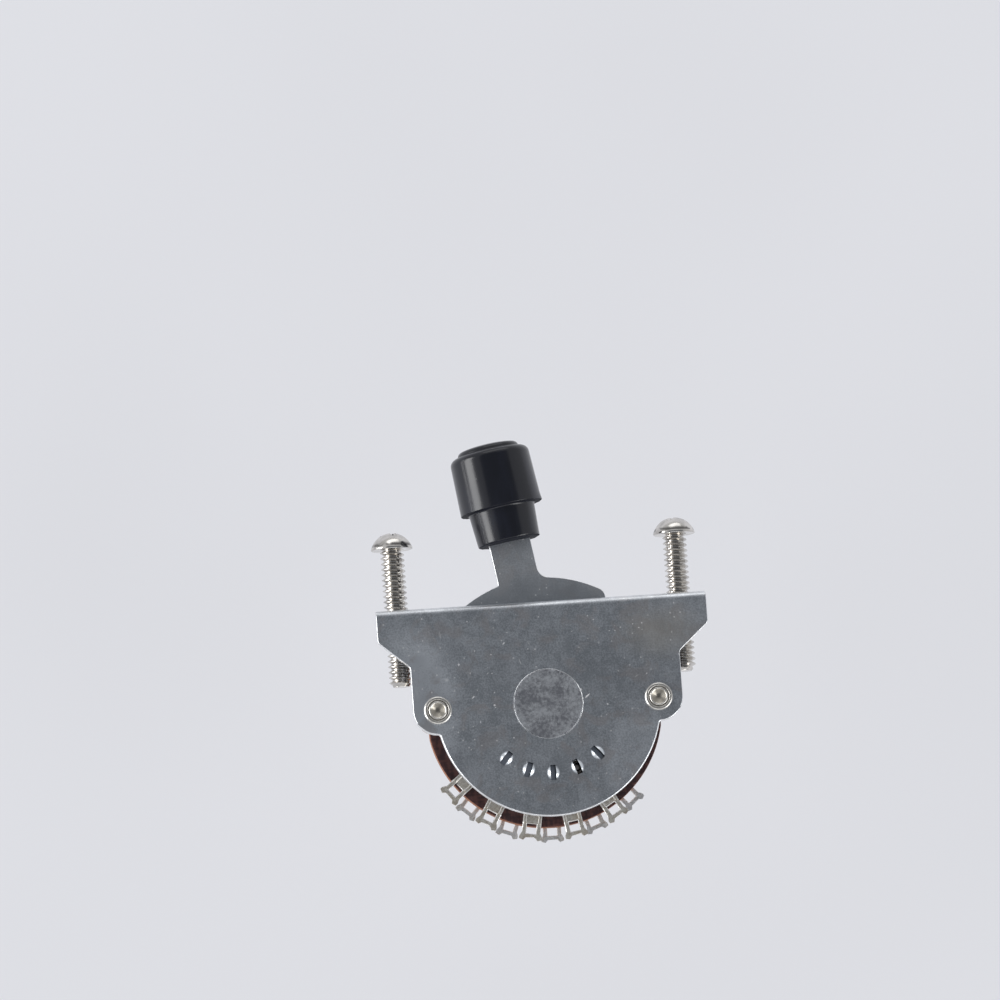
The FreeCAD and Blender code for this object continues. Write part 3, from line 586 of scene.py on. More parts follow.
def zinc_plate(name, sheet, nicks=(), patches=()):
    """Zinc plated sheet: bluish satin metal with clouds, streaks, grain, specks and nicks. The
    front plate also gets patches of painted light and shade and a painted highlight on its bend;
    the lever gets a painted shadow where the frame covers it and painted light behind the pocket
    slits.
    """
    finish = Finish(name, metallic=1.0)
    clouds = finish.cloud(7, detail=5.0, rough=0.6, warp=0.8)
    mottle = finish.cloud(1.7, detail=6.0, rough=0.7, warp=0.3)
    streaks = finish.cloud(2, stretch=(1.0, 1.0, 0.3), turn=0.5)
    grain = finish.cloud(0.26, rough=0.7)
    tint = finish.cloud(3.2, detail=4.0, rough=0.55, warp=0.7)
    tone = finish.plus(
        finish.remap(clouds, 0.38, 0.62, 0.16, 0.50),
        finish.remap(mottle, 0.41, 0.59, -0.11, 0.13),
        finish.remap(streaks, 0.40, 0.62, -0.03, 0.05),
        finish.remap(grain, 0.40, 0.60, -0.20, 0.20),
        # patches: on the front plate, painted light and shade in large soft ovals
        *finish.marks(patches),
    )
    coat = finish.blend(tone, sheet.dull, sheet.bright)
    coat = finish.blend(finish.remap(tint, 0.50, 0.66, 0.0, 0.40), coat, sheet.warm)
    if patches:
        stained = finish.near(STAIN_SPOT, 1.0 * MM, 7.0 * MM, squash=(1.0, 1.0, 1.5))
        coat = finish.blend(finish.times(stained, 0.55), coat, sheet.stain)
        # painted highlight along the flange's bend, where it turns up towards the top light
        painted_highlight = finish.remap(finish.height(), -1.1 * MM, -0.1 * MM)
        coat = finish.blend(finish.times(painted_highlight, 0.5), coat, sheet.sheared)
    else:
        coat = finish.blend(0.25, coat, sheet.sheared)
        # painted shadow on the lever where the frame covers it
        shadow = finish.near(PIVOT, 17.5 * MM, 3.5 * MM)
        coat = finish.blend(finish.times(shadow, 0.62), coat, sheet.dull)
        # painted light on the lever behind the pocket slits
        coat = finish.blend(finish.near(PIVOT, 11.5 * MM, 1.0 * MM), coat, sheet.grease_and_painted_light)
    marks = finish.most(
        finish.times(finish.specks(0.8, 0.45, 0.16), 0.65),
        finish.times(finish.specks(2.7, 0.35, 0.07), 0.7),
    )
    if nicks:
        marks = finish.most(marks, finish.most(0.0, *finish.marks(nicks)))
    finish.paint(finish.blend(marks, coat, NICK_WHITE))
    rough = finish.remap(clouds, 0.36, 0.64, 0.43, 0.35)
    finish.gloss(finish.plus(rough, finish.times(marks, 0.25)))
    finish.relief(finish.plus(grain, finish.times(mottle, 1.5)), 0.011, 0.5)
    return finish.material


def clouded(name, first, second, lumps, colours, gloss, relief=None, metallic=1.0):
    """Metal whose colour, gloss and relief follow one noise: its lumps, and the ranges of each."""
    finish = Finish(name, metallic=metallic)
    clouds = finish.cloud(**lumps)
    finish.paint(finish.blend(finish.remap(clouds, *colours), first, second))
    finish.gloss(clouds, *gloss)
    if relief:
        finish.relief(clouds, *relief)
    return finish.material


def sheared_edge(name, metal):
    """Cut edge of sheet: bright, with fine tear lines across it."""
    lines = {"size": 0.25, "detail": 4.0, "stretch": TEAR_LINES}
    return clouded(
        name, metal, scaled(metal, 0.8), lines, (0.35, 0.65), (0.3, 0.7, 0.24, 0.40), (0.02, 0.5)
    )


def pocket_zinc_with_painted_highlight(sheet):
    """Glossier zinc on the pocket domes, painted near white as a highlight and fading to the
    plate's own at the rim.
    """
    finish = Finish("pocket zinc with painted highlight", metallic=1.0)
    mottle = finish.cloud(0.8, detail=2.0)
    cool = scaled(sheet.sheared, 0.82, 0.90, 0.98)
    plain = [(a + b) / 2 for a, b in zip(sheet.dull, sheet.bright)]
    painted_highlight_share = 0.0
    for number in range(-OUTER_POCKET, OUTER_POCKET + 1):
        turn = number * sheet.pocket_pitch
        aside, down = sheet.pocket_circle * math.sin(turn), sheet.pocket_circle * math.cos(turn)
        near = finish.near(
            (PIVOT.x + aside, PLATE_FRONT, PIVOT.z - down),
            0.60 * sheet.pocket_radius, 0.38 * sheet.pocket_radius, squash=FACE_ON,
        )
        painted_highlight_share = finish.most(painted_highlight_share, near)
    finish.paint(finish.blend(painted_highlight_share, plain, finish.blend(mottle, cool, sheet.sheared)))
    finish.gloss(painted_highlight_share, 0.0, 1.0, 0.38, 0.23)
    return finish.material


def stud_face(stud):
    """Steel disc with dark tarnish patches between rubbed ones."""
    finish = Finish("stud steel", metallic=1.0)
    patches = finish.cloud(3.4, detail=9.0, rough=0.68, warp=0.35)
    fine = finish.cloud(0.45, detail=5.0, rough=0.75)
    tone = finish.plus(
        finish.remap(patches, 0.41, 0.60, 0.06, 0.86), finish.remap(fine, 0.40, 0.60, -0.20, 0.20)
    )
    finish.paint(finish.blend(tone, stud.dark, stud.bright))
    finish.gloss(patches, 0.42, 0.58, 0.48, 0.36)
    finish.relief(finish.plus(patches, finish.times(fine, 0.5)), 0.02, 0.5)
    return finish.material


def plated(name, metal, roughness, dull=0.82, relief=(0.003, 0.35)):
    """Bright plated metal with faint clouds."""
    gloss = (0.3, 0.75, roughness * 0.85, roughness * 1.25)
    return clouded(name, metal, scaled(metal, dull), {"size": 1.3}, (0.35, 0.7), gloss, relief)


def silver_with_painted_highlight(wafer):
    """Silver plate painted near white along the lugs' edges, as a highlight."""
    highlight_lumps, painted_highlight = {"size": 0.7, "detail": 4.0, "rough": 0.6}, (0.99, 0.985, 0.97)
    spread, gloss = (0.42, 0.62), (0.35, 0.7, 0.30, 0.42)
    return clouded("rubbed silver", painted_highlight, wafer.silver, highlight_lumps, spread, gloss, metallic=0.55)


def screw_nickel(name, nickel, base):
    """Bright nickel, with a painted dark reflection in patches round the foot of a head that starts
    at height base.
    """
    finish = Finish(name, metallic=1.0)
    clouds = finish.cloud(1.3)
    patches = finish.cloud(1.9, detail=2.0)
    height = finish.height()
    painted_reflection_band = finish.times(
        finish.remap(height, base + 0.34 * MM, base + 0.48 * MM),
        finish.remap(height, base + 0.60 * MM, base + 1.05 * MM, 1.0, 0.0),
    )
    # painted reflection: dark patches in a band round the head's foot
    dark = finish.times(painted_reflection_band, finish.remap(patches, 0.44, 0.54, 0.0, 0.85))
    coat = finish.blend(finish.remap(clouds, 0.35, 0.7), nickel, scaled(nickel, 0.72))
    finish.paint(finish.blend(dark, coat, scaled(nickel, 0.12)))
    finish.gloss(clouds, 0.3, 0.75, 0.136, 0.20)
    return finish.material


def silvered_brass(wafer, *painted_cast):
    """Silver plate going dull, with darker patches; the factors given last tint it, as painted
    light and shade for where the lugs sit.
    """
    finish = Finish("silvered brass", metallic=0.8)
    clean = scaled(wafer.silver, *painted_cast)
    patches = finish.cloud(2.2, detail=5.0, rough=0.6, warp=0.3)
    fine = finish.cloud(0.36, detail=4.0, rough=0.6)
    tone = finish.plus(
        finish.remap(patches, 0.38, 0.62, 0.12, 0.88), finish.remap(fine, 0.40, 0.60, -0.26, 0.28)
    )
    finish.paint(finish.blend(tone, clean, scaled(clean, 0.64, 0.60, 0.56)))
    finish.gloss(patches, 0.35, 0.7, 0.34, 0.50)
    finish.relief(fine, 0.035, 0.6)
    return finish.material


def spring_steel(hub):
    """Tempered strip with fine rolling lines."""
    finish = Finish("spring steel", metallic=1.0)
    lines = finish.cloud(0.18, stretch=(0.15, 1.0, 1.0))
    tint = finish.cloud(2.5)
    straw = scaled(hub.spring, 1.1, 0.95, 0.8)
    coat = finish.blend(finish.remap(tint, 0.35, 0.65), hub.spring, straw)
    finish.paint(finish.blend(finish.times(lines, 0.4), coat, scaled(hub.spring, 0.6)))
    finish.gloss(lines, 0.3, 0.7, 0.36, 0.48)
    finish.relief(lines, 0.006, 0.4)
    return finish.material


def phenolic(name, face, fibre, darkened=0.0):
    """Laminated paper board: fibres both ways, dark resin pools, dust and a painted shadow on its
    middle.
    """
    finish = Finish(name, roughness=0.42)
    warp = finish.cloud(0.50, detail=5.0, stretch=(0.22, 1.0, 1.0), turn=0.5)
    weft = finish.cloud(0.50, detail=5.0, stretch=(1.0, 1.0, 0.25), turn=0.5)
    threads = finish.plus(warp, weft)
    pools = finish.cloud(2.4, detail=4.0, rough=0.6)
    coat = finish.blend(finish.remap(threads, 0.90, 1.16), face, fibre)
    coat = finish.blend(finish.remap(pools, 0.5, 0.75, 0.0, 0.6), coat, scaled(face, 0.5))
    # painted shadow of the frame's plate on the board's middle
    if darkened:
        centre = (PIVOT.x, PLATE_FRONT, PIVOT.z)
        painted_shadow = finish.near(centre, darkened, 1.2 * MM, squash=FACE_ON)
        coat = finish.blend(finish.times(painted_shadow, 0.6), coat, scaled(face, 0.25))
    dust = finish.specks(0.9, 0.10, 0.12)
    finish.paint(finish.blend(finish.times(dust, 0.35), coat, shade(190, 160, 140)))
    finish.gloss(pools, 0.35, 0.7, 0.50, 0.34)
    finish.relief(threads, 0.02, 0.5)
    return finish.material


def punched_board(name, edge, face):
    """Punched edge of the board: torn paper layers."""
    finish = Finish(name, roughness=0.72)
    layers = finish.cloud(0.28, detail=4.0, rough=0.65, stretch=(0.25, 1.0, 0.25))
    tears = finish.cloud(0.5, detail=5.0, rough=0.7)
    coat = finish.blend(finish.remap(layers, 0.4, 0.65), edge, scaled(edge, 0.62))
    finish.paint(finish.blend(finish.remap(tears, 0.56, 0.7, 0.0, 0.75), coat, face))
    finish.relief(finish.plus(layers, tears), 0.05, 0.7)
    return finish.material


def black_plastic(knob):
    """Glossy black moulding with faint flow marks and a little dust."""
    finish = Finish("black moulding", roughness=0.24)
    flow = finish.cloud(3.6, stretch=(1.0, 1.0, 0.35))
    grain = finish.cloud(0.5, rough=0.55)
    dust = finish.specks(1.4, 0.12, 0.07)
    cool = scaled(knob.plastic, 1.45, 1.5, 1.6)
    coat = finish.blend(finish.remap(flow, 0.4, 0.7), knob.plastic, cool)
    finish.paint(finish.blend(finish.times(dust, 0.5), coat, (0.2, 0.2, 0.21)))
    finish.gloss(flow, 0.3, 0.7, 0.18, 0.24)
    finish.relief(finish.plus(finish.times(grain, 0.35), finish.times(flow, 1.2)), 0.014, 0.3)
    return finish.material


def matt_plastic(knob):
    """The moulding's unpolished undersides."""
    finish = Finish("matt moulding", roughness=0.65)
    finish.shader.inputs["Specular IOR Level"].default_value = 0.15
    grain = finish.cloud(0.4)
    finish.paint(finish.blend(grain, knob.plastic, scaled(knob.plastic, 1.6)))
    return finish.material


def ivory_moulding(hub):
    """Moulded ivory plastic with a faint flow and grease in patches."""
    finish = Finish("ivory moulding", roughness=0.42)
    flow = finish.cloud(2.8, warp=0.8)
    grain = finish.cloud(0.3)
    grease_and_painted_light = finish.cloud(4, detail=5.0, rough=0.65)
    coat = finish.blend(flow, hub.ivory, scaled(hub.ivory, 0.93, 0.88, 0.78))
    greased = finish.remap(grease_and_painted_light, 0.58, 0.75, 0.0, 0.4)
    finish.paint(finish.blend(greased, coat, shade(150, 128, 92)))
    finish.gloss(grease_and_painted_light, 0.5, 0.75, 0.45, 0.28)
    finish.relief(grain, 0.012, 0.4)
    return finish.material


# Pieces


class SWITCH_OT_frame(Operator):
    """Dress the bent frame: rounded outline, bright sheared edges and pockets with a painted
    highlight
    """

    bl_idname = "switch.frame"
    bl_label = "Bent frame"

    def execute(self, context):
        sheet = context.scene.switch_sheet
        skirt_inside = sheet.pocket_circle * 1.5
        bend_end = PLATE_FRONT + 1.5 * MM
        bend_foot = -1.6 * MM

        def on_arc(spot):
            across, up = spot.x - PIVOT.x, spot.z - PIVOT.z
            return up < -2 * MM and math.hypot(across, up) > skirt_inside

        def on_outline(spot):
            return not on_arc(spot) and self.from_pocket(spot, sheet) > 1.1 * sheet.pocket_radius

        def flatness(face):
            spot = face.calc_center_median()
            if spot.z < bend_foot:
                return abs(face.normal.y)
            if spot.y > bend_end:
                return abs(face.normal.z)
            return 1.0 - abs(face.normal.x)

        bm = copy_of("mounting_frame")
        self.swell_pockets(bm, sheet)
        soften(bm, sheet.arc_round, on_arc)
        soften(bm, sheet.outline_round, on_outline)
        cut_faces(bm, flatness, 0.86, 1)
        # pocket domes take the zinc with a painted highlight, their slit walls the painted shade
        for face in bm.faces:
            if self.from_pocket(face.calc_center_median(), sheet) < sheet.pocket_radius:
                face.material_index = 2 if abs(face.normal.y) > 0.3 else 3
        materials = [
            zinc_plate("zinc plate", sheet, PLATE_NICKS, PLATE_LIGHT_AND_SHADE),
            sheared_edge("sheared frame edge", sheet.sheared),
            pocket_zinc_with_painted_highlight(sheet),
            # slit walls: painted shade, near black
            sheared_edge("slit wall", scaled(sheet.grease_and_painted_light, 0.06)),
        ]
        dress("bent_frame", bm, materials, "frame", "mounting_frame", crisp=2)
        return {"FINISHED"}

    def in_pocket(self, spot, sheet):
        """Place of a spot across and along the nearest index pocket, and the pocket's turn."""
        aside, up = spot.x - PIVOT.x, spot.z - PIVOT.z
        number = round(math.atan2(aside, -up) / sheet.pocket_pitch)
        turn = max(-OUTER_POCKET, min(OUTER_POCKET, number)) * sheet.pocket_pitch
        across = aside * math.cos(turn) + up * math.sin(turn)
        along = aside * math.sin(turn) - up * math.cos(turn) - sheet.pocket_circle
        return across, along, turn

    def from_pocket(self, spot, sheet):
        """Distance of a spot from the middle of the nearest pocket, once that is stretched."""
        across, along, _ = self.in_pocket(spot, sheet)
        return math.hypot(across, along / sheet.pocket_stretch)

    def swell_pockets(self, bm, sheet):
        """Refines the pockets' domes, eases them into the plate and stretches them."""
        rise = PLATE_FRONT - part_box("mounting_frame")[0].y
        radius, half = sheet.pocket_radius, sheet.slit_half
        domes = []
        for face in bm.faces:
            spot = face.calc_center_median()
            proud = spot.y < PLATE_FRONT - 0.01 * MM and abs(face.normal.y) > 0.3
            across, along, _ = self.in_pocket(spot, sheet)
            if proud and math.hypot(across, along) < radius:
                domes.append(face)
        edges = list({edge for face in domes for edge in face.edges})
        bmesh.ops.subdivide_edges(bm, edges=edges, cuts=4, use_grid_fill=True)
        for vert in bm.verts:
            across, along, turn = self.in_pocket(vert.co, sheet)
            share = math.hypot(across, along) / radius
            if share > 1.1:
                continue
            if vert.co.y < PLATE_FRONT - 0.002 * MM and share < 1.0:
                vert.co.y = PLATE_FRONT - rise * (1 - share * share) ** 1.8
            rim = math.sqrt(max(0.0, radius**2 - along * along))
            if vert.co.y < PLATE_FRONT + 0.1 * MM and half - 0.02 * MM < abs(across) < rim:
                weight = 1 - (abs(across) - half) / (rim - half)
                flare = sheet.slit_flare * (1 - (along / radius) ** 2) * weight
                across += math.copysign(flare, across)
            reach = sheet.pocket_circle + along * sheet.pocket_stretch
            vert.co.x = PIVOT.x + across * math.cos(turn) + reach * math.sin(turn)
            vert.co.z = PIVOT.z + across * math.sin(turn) - reach * math.cos(turn)


class SWITCH_OT_lever(Operator):
    """Dress the stamped lever"""

    bl_idname = "switch.lever"
    bl_label = "Lever"

    def execute(self, context):
        sheet = context.scene.switch_sheet
        bm = softened("lever_blade", sheet.lever_round)
        cut_faces(bm, in_sheet, 0.86, 1)
        materials = [
            zinc_plate("zinc lever", sheet),
            sheared_edge("sheared lever edge", sheet.sheared),
        ]
        dress("stamped_lever", bm, materials, "lever", "lever_blade")
        return {"FINISHED"}


class SWITCH_OT_pivot(Operator):
    """Dress the staked pivot stud and its washer"""

    bl_idname = "switch.pivot"
    bl_label = "Pivot stud and washer"

    def execute(self, context):
        stud = context.scene.switch_stud
        bm = copy_of("pivot_stud")
        soften(bm, stud.edge_round, lambda spot: spot.y < PLATE_FRONT + 0.5 * MM)
        soften(bm, 0.06 * MM, lambda spot: spot.y > PLATE_FRONT + 0.9 * MM, least=35)
        dress("staked_stud", bm, [stud_face(stud)], "frame", "pivot_stud")
        bm = softened("axle_washer", 0.07 * MM)
        washer = plated("nickel washer", context.scene.switch_rivets.nickel, 0.26)
        dress("thin_washer", bm, [washer], "frame", "axle_washer")
        return {"FINISHED"}


class SWITCH_OT_screws(Operator):
    """Cut the fixing screws: a helical thread and a round head with a cross recess"""

    bl_idname = "switch.screws"
    bl_label = "Fixing screws"

    def execute(self, context):
        screw = context.scene.switch_screws
        for node, turn in (("left_screw", 14), ("right_screw", -24)):
            height = self.head_height(node)
            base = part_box(node)[1].z - height
            nickel = screw_nickel("nickel " + node, screw.nickel, base)
            bm = self.threaded_shank(screw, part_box(node)[0].z, base + 0.2 * MM)
            self.add_head(bm, screw, base, height)
            place(bm, Matrix.Rotation(math.radians(turn), 4, "Z"), (0, 0, 0))
            axis = middle(node)
            place(bm, Matrix.Identity(4), (axis.x, axis.y, 0))
            dress(node.replace("_", "_fixing_"), bm, [nickel], "frame", node)
        return {"FINISHED"}

    def head_height(self, node):
        """Height of the CAD screw's head: from the lowest point that is wider than the shank."""
        axis = middle(node)
        spots = [v.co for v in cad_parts[node].data.vertices]
        wide = [c.z for c in spots if math.hypot(c.x - axis.x, c.y - axis.y) > 2.2 * MM]
        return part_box(node)[1].z - min(wide)

    def threaded_shank(self, screw, tip, top):
        """The thread, one pitch of its profile swept down a helix and cut off square."""
        crest, root = screw.crest_radius, screw.root_radius
        flank = (crest - root) * math.tan(math.radians(30))
        crest_half = screw.pitch * 0.07
        root_half = screw.pitch / 2 - flank - crest_half
        bm = wire([
            (root, 0), (root, -root_half), (crest, -root_half - flank),
            (crest, -root_half - flank - 2 * crest_half),
            (root, -root_half - 2 * flank - 2 * crest_half), (root, -screw.pitch),
        ])
        turns = math.ceil((top - tip) / screw.pitch) + 2
        spin(bm, screw.steps * turns, FULL_TURN * turns, -screw.pitch / screw.steps, merge=False)
        bmesh.ops.remove_doubles(bm, verts=bm.verts[:], dist=2 * MERGE)
        bmesh.ops.translate(bm, verts=bm.verts[:], vec=(0, 0, top + 1.2 * screw.pitch))
        for vert in bm.verts:
            reach = root * 0.86 + max(0.0, vert.co.z - tip)
            radius = math.hypot(vert.co.x, vert.co.y)
            if vert.co.z < tip + screw.point and radius > reach:
                vert.co.x *= reach / radius
                vert.co.y *= reach / radius
        slice_at(bm, tip, (0, 0, -1), clear=True)
        slice_at(bm, top, clear=True)
        bmesh.ops.holes_fill(bm, edges=[e for e in bm.edges if e.is_boundary], sides=0)
        bmesh.ops.recalc_face_normals(bm, faces=bm.faces[:])
        return bm

    def add_head(self, bm, screw, base, height):
        """The round head, with a cross sunk in its top, joined to the shank's mesh."""
        steps, rings, cuts = 48, 12, 3
        radius, foot_bevel = screw.head_radius, 0.08 * MM
        circle = radius * 0.66  # where the rings end and the faces run in to the cross
        rise = height - screw.head_rim
        ball = (radius * radius + rise * rise) / (2 * rise)

        def dome(distance):
            return base + height - ball + math.sqrt(max(0.0, ball * ball - distance * distance))

        points = [(0.0, base), (radius - foot_bevel, base), (radius, base + foot_bevel)]
        for ring in range(rings + 1):
            distance = radius * math.cos(math.acos(circle / radius) * ring / rings)
            points.append((distance, dome(distance)))
        head = wire(points)
        spin(head, steps)
        rim = bmesh.ops.create_circle(head, cap_ends=False, radius=circle, segments=steps)["verts"]
        bmesh.ops.translate(head, verts=rim, vec=(0, 0, dome(circle)))
        rim_edges = list({edge for vert in rim for edge in vert.link_edges})
        cross_edges = self.cross(head, screw.recess_reach, screw.recess_width, dome, cuts)
        bridged = bmesh.ops.bridge_loops(head, edges=rim_edges + cross_edges)
        spokes = {edge for face in bridged["faces"] for edge in face.edges}
        spokes = list(spokes - set(rim_edges) - set(cross_edges))
        bmesh.ops.subdivide_edges(head, edges=spokes, cuts=cuts, use_grid_fill=True)
        for vert in head.verts:
            distance = math.hypot(vert.co.x, vert.co.y)
            if vert.co.z > base + screw.head_rim and distance < circle:
                vert.co.z = dome(distance)
        sunk = bmesh.ops.extrude_edge_only(head, edges=cross_edges)["geom"]
        floor = [v for v in sunk if isinstance(v, bmesh.types.BMVert)]
        bmesh.ops.scale(head, verts=floor, vec=(0.62, 0.62, 1.0))
        for vert in floor:
            vert.co.z = base + height - screw.recess_depth
        floor_edges = [e for e in sunk if isinstance(e, bmesh.types.BMEdge) and e.is_boundary]
        bmesh.ops.contextual_create(head, geom=floor_edges)
        close_up(head)
        joined = mesh_of("head", head)
        bm.from_mesh(joined)
        bpy.data.meshes.remove(joined)

    def cross(self, bm, reach, width, dome, cuts):
        """Edges of the recess's outline, laid on the head's dome."""
        corners = [
            (reach, -width), (reach, width), (width, width), (width, reach), (-width, reach),
            (-width, width), (-reach, width), (-reach, -width), (-width, -width),
            (-width, -reach), (width, -reach), (width, -width),
        ]
        verts = []
        for x, y in corners:
            verts += bmesh.ops.create_vert(bm, co=(x, y, dome(math.hypot(x, y))))["vert"]
        edges = [bm.edges.new(pair) for pair in zip(verts, verts[1:] + verts[:1])]
        split = bmesh.ops.subdivide_edges(bm, edges=edges, cuts=cuts)["geom_split"]
        return list(set(edges) | {e for e in split if isinstance(e, bmesh.types.BMEdge)})


class SWITCH_OT_rivets(Operator):
    """Turn the tubular rivets and dress their spacers"""

    bl_idname = "switch.rivets"
    bl_label = "Rivets and spacers"

    def execute(self, context):
        rivet = context.scene.switch_rivets
        # a darker nickel for the rivets' bowls
        darkened = scaled(rivet.nickel, 0.56, 0.54, 0.50)
        nickels = [
            plated("nickel rivet", rivet.nickel, 0.28, dull=0.9, relief=None),
            plated("soiled nickel bowl", darkened, 0.27),
        ]
        tube = plated("nickel spacer", rivet.nickel, 0.30)
        for side in ("left", "right"):
            node, spacer = side + "_rivet", side + "_spacer"
            bm = self.rivet(rivet, node)
            dress(side + "_tubular_rivet", bm, nickels, "frame", node)
            bm = softened(spacer, 0.08 * MM)
            dress(side + "_sleeve", bm, [tube], "frame", spacer)
        return {"FINISHED"}

    def rivet(self, rivet, node):
        """One rivet: rolled flange, groove, raised ring and bowl in front, clinch behind."""
        low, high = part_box(node)
        rear, step = (high.y - low.y) / MM, 0.6
        flange, groove = rivet.flange_radius / MM, rivet.groove_radius / MM
        crown, bowl, depth = rivet.crown_radius / MM, rivet.bowl_radius / MM, rivet.bowl_depth / MM
        profile = [
            (0.0, depth, 0), (bowl, depth - 0.06, 0.22), (crown - 0.20, 0.11, 0.10),
            (crown - 0.06, 0.0, 0.10), (crown + 0.09, 0.08, 0.09), (groove, 0.38, 0.05),
            (groove + 0.12, 0.10, 0.14), (flange - 0.10, 0.10, 0.22), (flange, 0.42, 0.06),
            (flange, step, 0), (1.3, step, 0), (1.3, rear - 0.45, 0), (1.95, rear - 0.45, 0),
            (1.95, rear - 0.3, 0.1), (1.5, rear, 0.18), (1.05, rear - 0.05, 0.1),
            (0.8, rear - 0.6, 0.1), (0.0, rear - 0.75, 0),
        ]
        bm = turned([scaled(point, MM) for point in profile], rivet.steps)
        for face in bm.faces:
            spot = face.calc_center_median()
            if spot.z < step * MM and math.hypot(spot.x, spot.y) < (crown - 0.15) * MM:
                face.material_index = 1
        axis = middle(node)
        place(bm, Matrix.Rotation(-math.pi / 2, 4, "X"), (axis.x, low.y, axis.z))
        return bm


class SWITCH_OT_knob(Operator):
    """Turn the barrel knob, with the slightly uneven rims of its moulding"""

    bl_idname = "switch.knob"
    bl_label = "Barrel knob"

    def execute(self, context):
        knob = context.scene.switch_knob
        crown, foot = knob.crown_radius, knob.stand_off
        neck_top = foot + knob.neck_length
        barrel_top = neck_top + knob.barrel_length
        top = barrel_top + knob.crown_height
        profile = [
            (0.0, top, 0), (crown * 0.35, top - 0.03 * MM, 0),
            (crown * 0.7, top - 0.14 * MM, 0.5 * MM),
            (crown - 0.12 * MM, top - 0.42 * MM, 0.4 * MM),
            (crown + 0.06 * MM, barrel_top, 0.14 * MM),
            (knob.barrel_top_radius, barrel_top - 0.02 * MM, knob.shoulder_round),
            (knob.barrel_radius, neck_top, 0.13 * MM),
            (knob.neck_radius, neck_top + 0.06 * MM, 0.45 * MM),
            (knob.neck_end_radius, foot, 0.3 * MM), (0.0, foot, 0),
        ]
        bm = turned(profile, knob.steps)
        for height in (neck_top + 1.2 * MM, neck_top + 3 * MM, foot + 1.2 * MM):
            slice_at(bm, height)
        self.roughen(bm, knob, neck_top, knob.barrel_radius - 0.3 * MM)
        self.roughen(bm, knob, foot, knob.neck_end_radius - 0.5 * MM)
        cut_faces(bm, lambda face: face.normal.z, -0.7, 1)
        lean = Matrix.Rotation(-knob.lean, 4, "Y")
        place(bm, lean, (PIVOT.x, middle("lever_blade").y, PIVOT.z))
        materials = [black_plastic(knob), matt_plastic(knob)]
        dress("barrel_knob", bm, materials, "lever", "lever_knob")
        return {"FINISHED"}

    def roughen(self, bm, knob, height, inside):
        """Gives the rim at a height its flash and the gate's lip."""
        for vert in bm.verts:
            radius = math.hypot(vert.co.x, vert.co.y)
            if abs(vert.co.z - height) >= 0.2 * MM or radius <= inside:
                continue
            facing = math.atan2(vert.co.y, vert.co.x)
            ragged = noise.noise(vert.co * 900) + 0.5 * noise.noise(vert.co * 2600)
            vert.co.z -= knob.flash * abs(ragged)
            lip = math.exp(-((facing + 0.25) / 0.16) ** 2) * knob.gate
            vert.co.x *= 1 + lip / radius
            vert.co.y *= 1 + lip / radius
            vert.co.z -= 0.6 * lip


class SWITCH_OT_wafer(Operator):
    """Dress the phenolic wafer and its soldering lugs"""

    bl_idname = "switch.wafer"
    bl_label = "Wafer and lugs"

    def execute(self, context):
        wafer = context.scene.switch_wafer
        bm = copy_of("stator_wafer")
        self.trim_ears(bm, wafer)
        soften(bm, wafer.board_round, segments=2)
        cut_faces(bm, lambda face: -face.normal.y, -0.8, 2)
        cut_faces(bm, in_sheet, 0.8, 1)
        materials = [
            phenolic("wafer front", wafer.board, wafer.fibre, darkened=wafer.painted_shadow_radius),
            punched_board("punched wafer edge", wafer.punched, wafer.board),
            phenolic("wafer back", wafer.board, scaled(wafer.fibre, 0.68)),
        ]
        dress("phenolic_wafer", bm, materials, "frame", "stator_wafer")
        painted_highlight = silver_with_painted_highlight(wafer)
        # the lugs' long edges take the silver with a painted highlight
        long_edges = {"segments": 2, "least": 60, "mark": 1, "shortest": 0.7 * MM}
        for side, painted_cast in (("front", FRONT_LUG_PAINTED_SHADE), ("rear", REAR_LUG_PAINTED_REFLECTION)):
            silvers = [silvered_brass(wafer, *painted_cast), painted_highlight]
            for number in range(1, LUG_COUNT + 1):
                node = f"lug_{side}_{number}"
                bm = softened(node, wafer.ridge_round, **long_edges)
                dress(f"{side}_lug_{number}", bm, silvers, "frame", node)
        return {"FINISHED"}

    def trim_ears(self, bm, wafer):
        """Draws the round ends of the board in, so that the frame's ears hide them."""
        for rivet in ("left_rivet", "right_rivet"):
            axis = middle(rivet)
            for vert in bm.verts:
                aside, up = vert.co.x - axis.x, vert.co.z - axis.z
                reach = math.hypot(aside, up)
                if abs(reach - wafer.ear_radius) < 0.02 * MM:
                    vert.co.x -= aside / reach * wafer.ear_trim
                    vert.co.z -= up / reach * wafer.ear_trim


class SWITCH_OT_rotor(Operator):
    """Dress the rotor, its contacts and the hub that drives it"""

    bl_idname = "switch.rotor"
    bl_label = "Rotor and hub"

    def execute(self, context):
        wafer, hub = context.scene.switch_wafer, context.scene.switch_hub
        bm = softened("rotor_disc", wafer.board_round, segments=2)
        cut_faces(bm, in_sheet, 0.8, 1)
        materials = [
            phenolic("rotor board", wafer.rotor, scaled(wafer.rotor, 1.5)),
            punched_board("punched rotor edge", wafer.punched, wafer.rotor),
        ]
        dress("rotor_board", bm, materials, "lever", "rotor_disc")
        silver = silvered_brass(wafer, 1.0)
        for node, name in (
            ("rotor_contact_front", "front_blade"), ("rotor_contact_rear", "rear_blade"),
            ("rotor_rivets", "blade_rivets"),
        ):
            bm = softened(node, wafer.lug_round, segments=2, least=32)
            dress(name, bm, [silver], "lever", node)
        bm = softened("drive_hub", hub.hub_round, least=32)
        dress("moulded_hub", bm, [ivory_moulding(hub)], "lever", "drive_hub")
        return {"FINISHED"}


